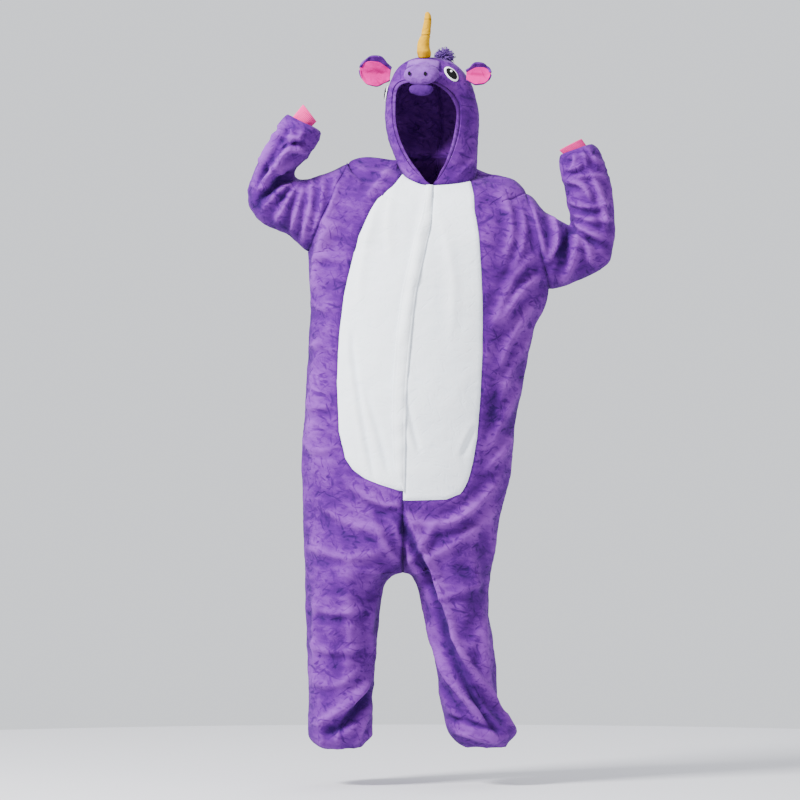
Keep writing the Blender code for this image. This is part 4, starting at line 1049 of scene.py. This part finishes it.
# Painted light on the band: lighter over its rounded middle, painted shade along the stitching and at
# its rolled free edge.
shade = 0.5 * np.sin(np.pi * f) - 0.9 * stitch - 0.6 * (f > 0.97) + 0 * lift
band = dict(points=points + normals * lift[..., None], ring=False, flip=False, crest=shade)
piece = shell("front_band", band, normals, WHITE, BAND_WALL)
sewn_piece(piece, "placket", cut_size(points))
print("front band", points.shape)

# %% [markdown]
# ## Knit cuffs
# Ribbed knit shows as upright cords about 3 mm apart. Here the ribs are in the form itself: the
# radius of the tube goes up and down with the turn round it.

# %% wrist and ankle cuffs
RIB_PITCH, RIB_HEIGHT, RIB_WALL = 3.2, 0.55, 1.6
CUFF_RINGS = np.linspace(0, 1, 18)


def ribbed(rings, side, name, node):
    """A tube of rib knit through rings of points, its radius waved once for each rib."""
    around_it = steps(rings[0])
    place = np.concatenate([[0], np.cumsum(around_it)])
    whole = place[-1] + around_it.mean()
    wave = np.cos(2 * np.pi * round(whole / RIB_PITCH) * place / whole)[None, :] + 0 * rings[..., 0]
    plain = dict(points=rings, ring=True, flip=side == "left")
    points = rings + unit(rings - rings.mean(1, keepdims=True)) * (RIB_HEIGHT * wave)[..., None]
    # The same wave paints each rib lighter on top and darker between: painted highlight and painted
    # shade.
    made = dict(plain, points=points, crest=wave)
    piece = shell(name + "_" + side, made, shared_normals([plain])[0], PINK_RIB, RIB_WALL)
    sewn_piece(piece, node + "_" + side, cut_size(rings, True))


def narrowed(ring, middle):
    """A cuff's ring: the cloth's own ring, drawn in by the cuff's slack."""
    return ring - unit(ring - middle) * CUFF_SLACK


fine_turns = 2 * np.pi * (np.arange(360) + 0.5) / 360 - np.pi / 2
half = np.linspace(0, 1, 181)
hem = np.full(181, float(HEM_ROW))
for side in SIDES:
    seam = {name: values[CUFF_SEAM_ROW] for name, values in SLEEVES[side].items()}
    rings = []
    for share in CUFF_RINGS:
        c = {name: seam[name] + (WRISTS[side][name] - seam[name]) * share for name in seam}
        middle = np.array([between(c, "x", 0), c["y"], between(c, "z", 0)])
        rings.append(narrowed(tube_point(c, fine_turns), middle))
    ribbed(np.stack(rings), side, "knit_wrist", "wrist_cuff")
    ring = np.concatenate([leg(side, "front", hem, half), leg(side, "back", hem, half)[-2:0:-1]])
    middle = (ring.min(0) + ring.max(0)) / 2
    drop = np.array([0, 0, ANKLE_END - middle[2]])
    rings = np.stack([narrowed(ring, middle) + drop * share for share in CUFF_RINGS])
    ribbed(rings, side, "knit_ankle", "ankle_cuff")
print("cuffs made")

# %% [markdown]
# ## Horn, bridge, muzzle and jaw
# These are stuffed: cut flat, sewn, turned and filled, so each is a crowned closed form. A ring of
# thread is pulled tight round the horn, and the muzzle sits on a wedge that carries the horn.

# %% sizes of the stuffed pieces
# Ovals from the hood forwards: top and bottom of each in the upright middle plane of the head (y is
# forwards-negative), and its half width.
BASE_GAP = 1.8
MUZZLE_BASE = (1.88, 0.065, 36.0)  # middle and half size along the crown seam, and half size across it
MUZZLE = table(
    "y_top z_top y_low z_low half",
    (-103, 242, -114, 206, 40),
    (-113, 244, -119, 197, 42),
    (-126, 240, -128, 194, 40),
    (-136, 232, -137, 199, 33),
    (-141, 222, -141, 208, 18),
    (-142, 217, -142, 214, 5),
)
JAW = table(
    "y_top z_top y_low z_low half",
    (-110, 187, -110, 184, 10),
    (-113, 190, -113, 177, 25),
    (-121, 191.5, -120, 173, 29),
    (-129, 190, -128, 176, 24),
    (-133, 187, -133, 181, 12),
    (-134, 185, -134, 183.5, 4),
)
BRIDGE_FROM, BRIDGE_TO, BRIDGE_HALF = 1.635, 1.81, 37.0
BRIDGE_RISE = (3.0, 14.0)  # at the horn and at the muzzle
NOSTRILS = {"right": (-24, 221), "left": (14, 220)}  # x and z on the front of the muzzle
NOSTRIL_SIZE = (3.8, 5.2)
NOSTRIL_FRONT = -142.6

HORN_AT = 1.525  # along the crown seam
HORN_BASE = (0.085, 15.0)  # half size along the seam and across it
HORN = table(
    "x y z radius",
    (-6, -62, 276, 16.3),
    (-7, -62, 290, 15.0),
    (-5, -63, 304, 13.0),
    (-2.5, -64, 312, 11.9),
    (-2, -64, 314.5, 10.6),
    (-1.5, -64, 317, 11.4),
    (2, -65, 336, 9.9),
    (4, -66, 352, 8.6),
    (4, -66, 361, 7.0),
    (3, -66, 367, 4.4),
    (3, -66, 369.5, 1.5),
)

EYE_TILT = math.radians(-52)
EYE_SIZES = {"eye_white": (21.0, 14.0), "eye_black": (16.5, 10.5), "eye_light": (2.8, 2.6)}
EYE_STANDS_OFF, EYE_STEP = 2.4, 1.6  # of the lowest disc from the hood, and from disc to disc
EYE_BEND = 105.0  # radius of the hood under an eye
EYES = {"right": (1.58, 0.60), "left": (1.75, 0.80)}  # the right one is on the side turned away

# Where on the hood they start, which way they point, which way is up on them, length, half height.
EARS = {
    "right": dict(at=(1.50, 0.725), axis=(-1.0, -0.20, 0.16), up=(0.16, 0.10, 1.0), long=73, half=35),
    "left": dict(at=(1.52, 0.72), axis=(1.0, -0.25, 0.06), up=(-0.10, 0.15, 1.0), long=58, half=25),
}
EAR_OUTLINE = {
    "along": np.array([0, 0.2, 0.45, 0.7, 0.88, 0.97, 1]),
    "half": np.array([0.42, 0.72, 1.0, 0.96, 0.66, 0.34, 0.12]),
}
EAR_STANDS_OFF = 6.0
EAR_CUP = 15.0  # how far the edges of an ear come forward

# %% placing things on the hood
def hood_normal(side, s, t, step=0.01):
    """The hood's outward direction, from its slopes just behind and below the point."""
    here = hood(side, s, t)
    normal = np.cross(here - hood(side, s - step, t), here - hood(side, s, t - step))
    normal /= np.linalg.norm(normal, axis=-1, keepdims=True)
    return normal if side == "right" else -normal


def laid_on_hood(s, across, lift):
    """Points moved out from the hood. across is how far left of the crown seam they are, in mm."""
    s, across = np.broadcast_arrays(np.asarray(s, float), np.asarray(across, float))
    c = along(RIBS, 2 * s)
    found = {}
    for side in SIDES:
        lean = CROWN_LEAN if side == "right" else -CROWN_LEAN
        reach = HEAD_HALF_WIDTH * np.sin(np.radians(c["turn"])) + lean
        up = np.arccos(np.clip(np.abs(across) / reach, 0, 1) ** (1 / c[side]))
        t = HOOD_SPLIT + (1 - HOOD_SPLIT) * up / (np.pi / 2)
        found[side] = hood(side, s, t) + hood_normal(side, s, t) * lift
    return np.where((across < 0)[..., None], found["right"], found["left"])


TURN = circle(64)


def base_rings(s, half_s, half_across, shares):
    """Rings on the hood, from the middle of a round patch out to its edge."""
    s = s + half_s * np.outer(shares, np.sin(TURN))
    across = half_across * np.outer(shares, np.cos(TURN))
    return [laid_on_hood(*ring, BASE_GAP) for ring in zip(s, across)]


def oval(c, k):
    """Section k of a stuffed piece, which may lie between two rows of its table."""
    c, lift = along(c, k), -np.sin(TURN)
    return head_place(c["half"] * np.cos(TURN), between(c, "y", lift), between(c, "z", lift))


def joined(base, section, count, last):
    """Rings from a base on the hood over to the first section, and on through all sections."""
    over = [base[-1] + (section(0.0) - base[-1]) * f for f in (0.2, 0.4, 0.6, 0.8)]
    return np.array(base + over + [section(k) for k in np.linspace(0, last, count)])


def add_stuffed(name, rings, finish, node, uneven=0.5, shade=np.zeros_like):
    """A closed form through rings of points, each end drawn together, with a slightly uneven skin."""
    first, last = rings[:1].mean(1, keepdims=True), rings[-1:].mean(1, keepdims=True)
    rings = np.concatenate([first + 0 * rings[:1], rings, last + 0 * rings[:1]])
    cells = grid_cells(*rings.shape[:2], ring=True)[:, ::-1]
    normals = shared_normals([dict(points=rings, ring=True, flip=True)])[0]
    rings = rings + normals * (uneven * waves(rings, 31, 20, 9, 40))[..., None]
    keys, index = np.unique(np.round(rings.reshape(-1, 3), 3), axis=0, return_inverse=True)
    kept = [list(dict.fromkeys(face)) for face in index.reshape(-1)[cells].tolist()]
    kept = [face for face in kept if len(face) > 2]
    piece = add_mesh(name, keys, kept, finish, shade(keys[:, 2]))
    finished(piece, node)

# %% muzzle, jaw and horn
JAW_PUFF, JAW_LIFT = (1.0, 1.0, 1.62), (0, 0, 3)  # its filling pushes it out above and below
THREAD_Z = (314.5, 352.0)
muzzle_rings = joined(base_rings(*MUZZLE_BASE, (0.2, 0.5, 0.8, 1.0)), lambda k: oval(MUZZLE, k), 41, 5)
muzzle_low, muzzle_high = muzzle_rings[..., 2].min(), muzzle_rings[..., 2].max()
jaw_rings = np.array([oval(JAW, k) for k in np.linspace(0, 5, 36)])
jaw_middle = jaw_rings.mean((0, 1))
jaw_rings = jaw_middle + (jaw_rings - jaw_middle) * JAW_PUFF + JAW_LIFT


def muzzle_shade(z):
    """Darker towards its lower side: painted shade."""
    return 1.6 * (z - muzzle_low) / (muzzle_high - muzzle_low) - 2.0


def horn_ring(k):
    """A circle of the horn between two rows of its table."""
    c = along(HORN, k)
    return head_place(c["x"] + c["radius"] * np.cos(TURN), c["y"] - c["radius"] * np.sin(TURN), c["z"])


def horn_shade(z):
    """Painted shade round the pulled threads."""
    return sum(-1.6 * bell(z - thread, 1.8) for thread in THREAD_Z)


add_stuffed("muzzle_stuffed", muzzle_rings, LAVENDER, "muzzle", shade=muzzle_shade)
# The jaw's material is a darker copy of the violet plush: painted shade under the muzzle.
add_stuffed("jaw_stuffed", jaw_rings, VIOLET_IN_SHADE, "jaw")
horn_rings = joined(base_rings(HORN_AT, *HORN_BASE, (0.2, 0.6, 1.0)), horn_ring, 81, 10)
add_stuffed("horn_stuffed", horn_rings, GOLD, "horn", 0.4, shade=horn_shade)
print("muzzle, jaw and horn")

# %% bridge
s = np.linspace(BRIDGE_FROM, BRIDGE_TO, 30)[:, None]
across = np.linspace(-1, 1, 60)[None, :]
forward = (s - BRIDGE_FROM) / (BRIDGE_TO - BRIDGE_FROM)
height = BRIDGE_RISE[0] + (BRIDGE_RISE[1] - BRIDGE_RISE[0]) * forward
rim = np.clip(np.minimum(np.minimum(forward, 1 - forward) * 6, (1 - np.abs(across)) * 7), 0, 1)
height = height * (1 - 0.55 * across**4) * (0.35 + 0.65 * np.sqrt(rim * (2 - rim)))
base = laid_on_hood(s, across * BRIDGE_HALF, BASE_GAP)
top = laid_on_hood(s, across * BRIDGE_HALF, BASE_GAP + height[..., None])
# Painted shade along the bridge's edges, where its sides roll down.
wedge = dict(points=top, ring=False, flip=True, crest=0.6 * rim - 0.5 + 0 * height)
out = (top - base) / height[..., None]
piece = shell("bridge_stuffed", wedge, out, LAVENDER, height)
finished(piece, "bridge")

# %% nostrils
bulges = np.linspace(-1, 1, 13)  # from the back face of a nostril to its front one
for side, (x, z) in NOSTRILS.items():
    wide = np.sqrt(np.maximum(1 - bulges**4, 0.02))[:, None]
    at_x = x + NOSTRIL_SIZE[0] * wide * np.cos(TURN)
    at_z = z - NOSTRIL_SIZE[1] * wide * np.sin(TURN)
    rings = head_place(at_x, NOSTRIL_FRONT - 0.9 - bulges[:, None], at_z)
    add_stuffed("nostril_felt_" + side, rings, BLACK_FELT, "nostril_" + side, 0.1)
print("bridge and nostrils")

# %% [markdown]
# ## Eyes
# Each eye is three discs of felt, one on the other: white, black and a small light one.

# %% felt eyes
LIGHT_UP = 5.5  # how far the light disc is above the middle
EYE_RINGS = np.array(  # share of the outline, and height above the lower face in mm
    [(0.3, 0), (0.7, 0), (0.97, 0), (1, 0.3), (1, 0.9), (0.96, 1.2), (0.7, 1.5), (0.35, 1.6)]
)
for side in SIDES:
    centre, normal = hood(side, *EYES[side]), hood_normal(side, *EYES[side])
    level = unit(np.cross((0, 0, 1), normal))
    steep = np.cross(normal, level)
    sideways = level * (-1 if side == "right" else 1)
    long = sideways * math.cos(EYE_TILT) + steep * math.sin(EYE_TILT)
    short = np.cross(long, normal)
    for disc, (name, (half_long, half_short)) in enumerate(EYE_SIZES.items()):
        outline = long * half_long * np.cos(TURN)[:, None] + short * half_short * np.sin(TURN)[:, None]
        flat = outline * EYE_RINGS[:, 0, None, None]
        if name == "eye_light":
            flat = flat + steep * LIGHT_UP - level
        drop = np.sum(flat**2, -1, keepdims=True) / (2 * EYE_BEND)
        up = EYE_STANDS_OFF + disc * EYE_STEP + EYE_RINGS[:, 1, None, None]
        finish = BLACK_FELT if name == "eye_black" else WHITE_FELT
        rings = centre + flat + normal * (up - drop)
        add_stuffed("felt_" + name + "_" + side, rings, finish, name + "_" + side, 0.05)
print("eyes made")

# %% [markdown]
# ## Ears
# A leaf of violet plush lined with pink, cupped forwards, its rim rolled a little over the lining.

# %% ears and their linings
EAR_ROLL, EAR_WALL, LINING_WALL = 2.6, 4.0, 1.9
LINING_FROM, LINING_TO, LINING_LONG = -1.07, 0.66, 1.03  # against the leaf's low edge, high edge and tip
outline = along(EAR_OUTLINE, np.linspace(0, 6, 41))
REACH, HALF = outline["along"][:, None, None], outline["half"][:, None, None]


def leaf(side, reach, v):
    """Points of the cupped leaf, at a share of its length and from low edge (v -1) to high one (v 1)."""
    ear = EARS[side]
    axis = unit(np.array(ear["axis"]))
    up = unit(ear["up"] - axis * np.dot(ear["up"], axis))
    front = np.cross(axis, up) * (-1 if side == "right" else 1)
    start = hood(side, *ear["at"]) + hood_normal(side, *ear["at"]) * EAR_STANDS_OFF
    cup = EAR_CUP * v**2 * np.sin(np.pi * np.clip(reach, 0.12, 0.9))
    return start + axis * ear["long"] * reach + up * HALF * ear["half"] * v + front * cup


for side in SIDES:
    v = np.linspace(-1, 1, 41)[None, :, None]
    plain = dict(points=leaf(side, REACH, v), ring=False, flip=side == "left")
    normals = shared_normals([plain])[0]
    rolled = EAR_ROLL * np.clip((v[..., 0] - 0.55) / 0.45, 0, 1) ** 2
    shade = np.clip(waves(plain["points"], 5, 12, 15, 40), -1, 1) * 0.5
    made = dict(plain, points=plain["points"] + normals * rolled[..., None], crest=shade)
    piece = shell("ear_plush_" + side, made, normals, VIOLET, EAR_WALL + rolled)
    sewn_piece(piece, "ear_" + side, cut_size(plain["points"]))
    # The lining is drawn out a little over the low edge and the tip, and stops short of the rolled one.
    v = np.linspace(LINING_FROM, LINING_TO, 36)[None, :, None]
    crease = 3.0 * bell(v - 0.1 + 0.3 * REACH, 0.16) * np.sin(np.pi * REACH)
    plain = dict(plain, points=leaf(side, LINING_LONG * REACH, v))
    normals = shared_normals([plain])[0]
    points = plain["points"] + normals * (EAR_ROLL - 0.8 * crease)
    # Darker along the crease: painted shade.
    made = dict(plain, points=points, crest=0.4 - 0.5 * crease[..., 0])
    piece = shell("ear_pink_" + side, made, normals, PINK, LINING_WALL)
    sewn_piece(piece, "ear_lining_" + side, cut_size(plain["points"]))
print("ears made")

# %% [markdown]
# ## Mane
# Tufts of long shaggy pile. Each is some hundreds of tapering strands from one root, bent over by
# their weight, every strand a thin closed cone of a few dozen faces.

# %% tufts of pile
# Where each stands on the left half of the hood, how far out, how long its strands are, and for the
# first one, by the horn, how far it leans from there.
TUFTS = table(
    "s t out reach lean",
    (0.50, 0.93, 14.04, 27.0, 1),
    (0.26, 0.90, 11.16, 16.1, 0),
    (0.03, 0.84, 11.16, 16.1, 0),
    (0.03, 0.68, 11.16, 16.1, 0),
    (0.03, 0.53, 11.16, 16.1, 0),
    (0.03, 0.38, 10.44, 14.95, 0),
)
LEAN = np.array([3.0, -9.0, 13.0])
STRANDS, SIDES_OF_STRAND, JOINTS = 520, 5, 6
CURL, DROOP, THICK = 0.22, 0.12, 0.07  # of a strand, as shares of its length
SEED = 40


def tuft(centre, outward, radius, seed):
    """Points of every strand: a bent line from near the root, with a small polygon round each joint."""
    rng = np.random.default_rng(seed)
    way = unit(rng.normal(size=(STRANDS, 3)) + 0.5 * outward)
    reach = radius * rng.uniform(0.72, 1.02, (STRANDS, 1))
    u = np.linspace(0, 1, JOINTS)[None, :, None]
    curl = rng.normal(size=(STRANDS, 1, 3)) * CURL * radius
    spine = centre + way[:, None] * reach[:, None] * (0.15 + 0.85 * u) + curl * np.sin(np.pi * u) * u
    spine[..., 2] -= (DROOP * radius * u**2)[..., 0]
    side_a = unit(np.cross(way, [0.3, 0.5, 0.8]))
    side_b = np.cross(way, side_a)
    turn = circle(SIDES_OF_STRAND)[:, None]
    ring = side_a[:, None, None] * np.cos(turn) + side_b[:, None, None] * np.sin(turn)
    thick = THICK * radius * (1 - 0.85 * u**1.6)
    points = spine[:, :, None] + ring * thick[..., None]
    index = np.arange(points[..., 0].size).reshape(points.shape[:3])
    near, far = index[:, :-1], index[:, 1:]
    quads = np.stack([near, np.roll(near, -1, 2), np.roll(far, -1, 2), far], -1).reshape(-1, 4)
    caps = np.concatenate([index[:, 0, ::-1], index[:, -1]])
    shade = np.repeat(rng.uniform(-1, 1, STRANDS), JOINTS * SIDES_OF_STRAND)
    return points.reshape(-1, 3), quads.tolist() + caps.tolist(), shade


for k, (s, t, out, reach, lean) in enumerate(zip(*TUFTS.values())):
    outward = hood_normal("left", s, t)
    centre = hood("left", s, t) + outward * out + lean * LEAN
    points, faces, shade = tuft(centre, outward, reach, SEED + k)
    piece = add_mesh("tuft_%d" % (k + 1), points, faces, PILE, shade)
    finished(piece, "mane_tuft_%d" % (k + 1))
print("tufts:", len(TUFTS["s"]))
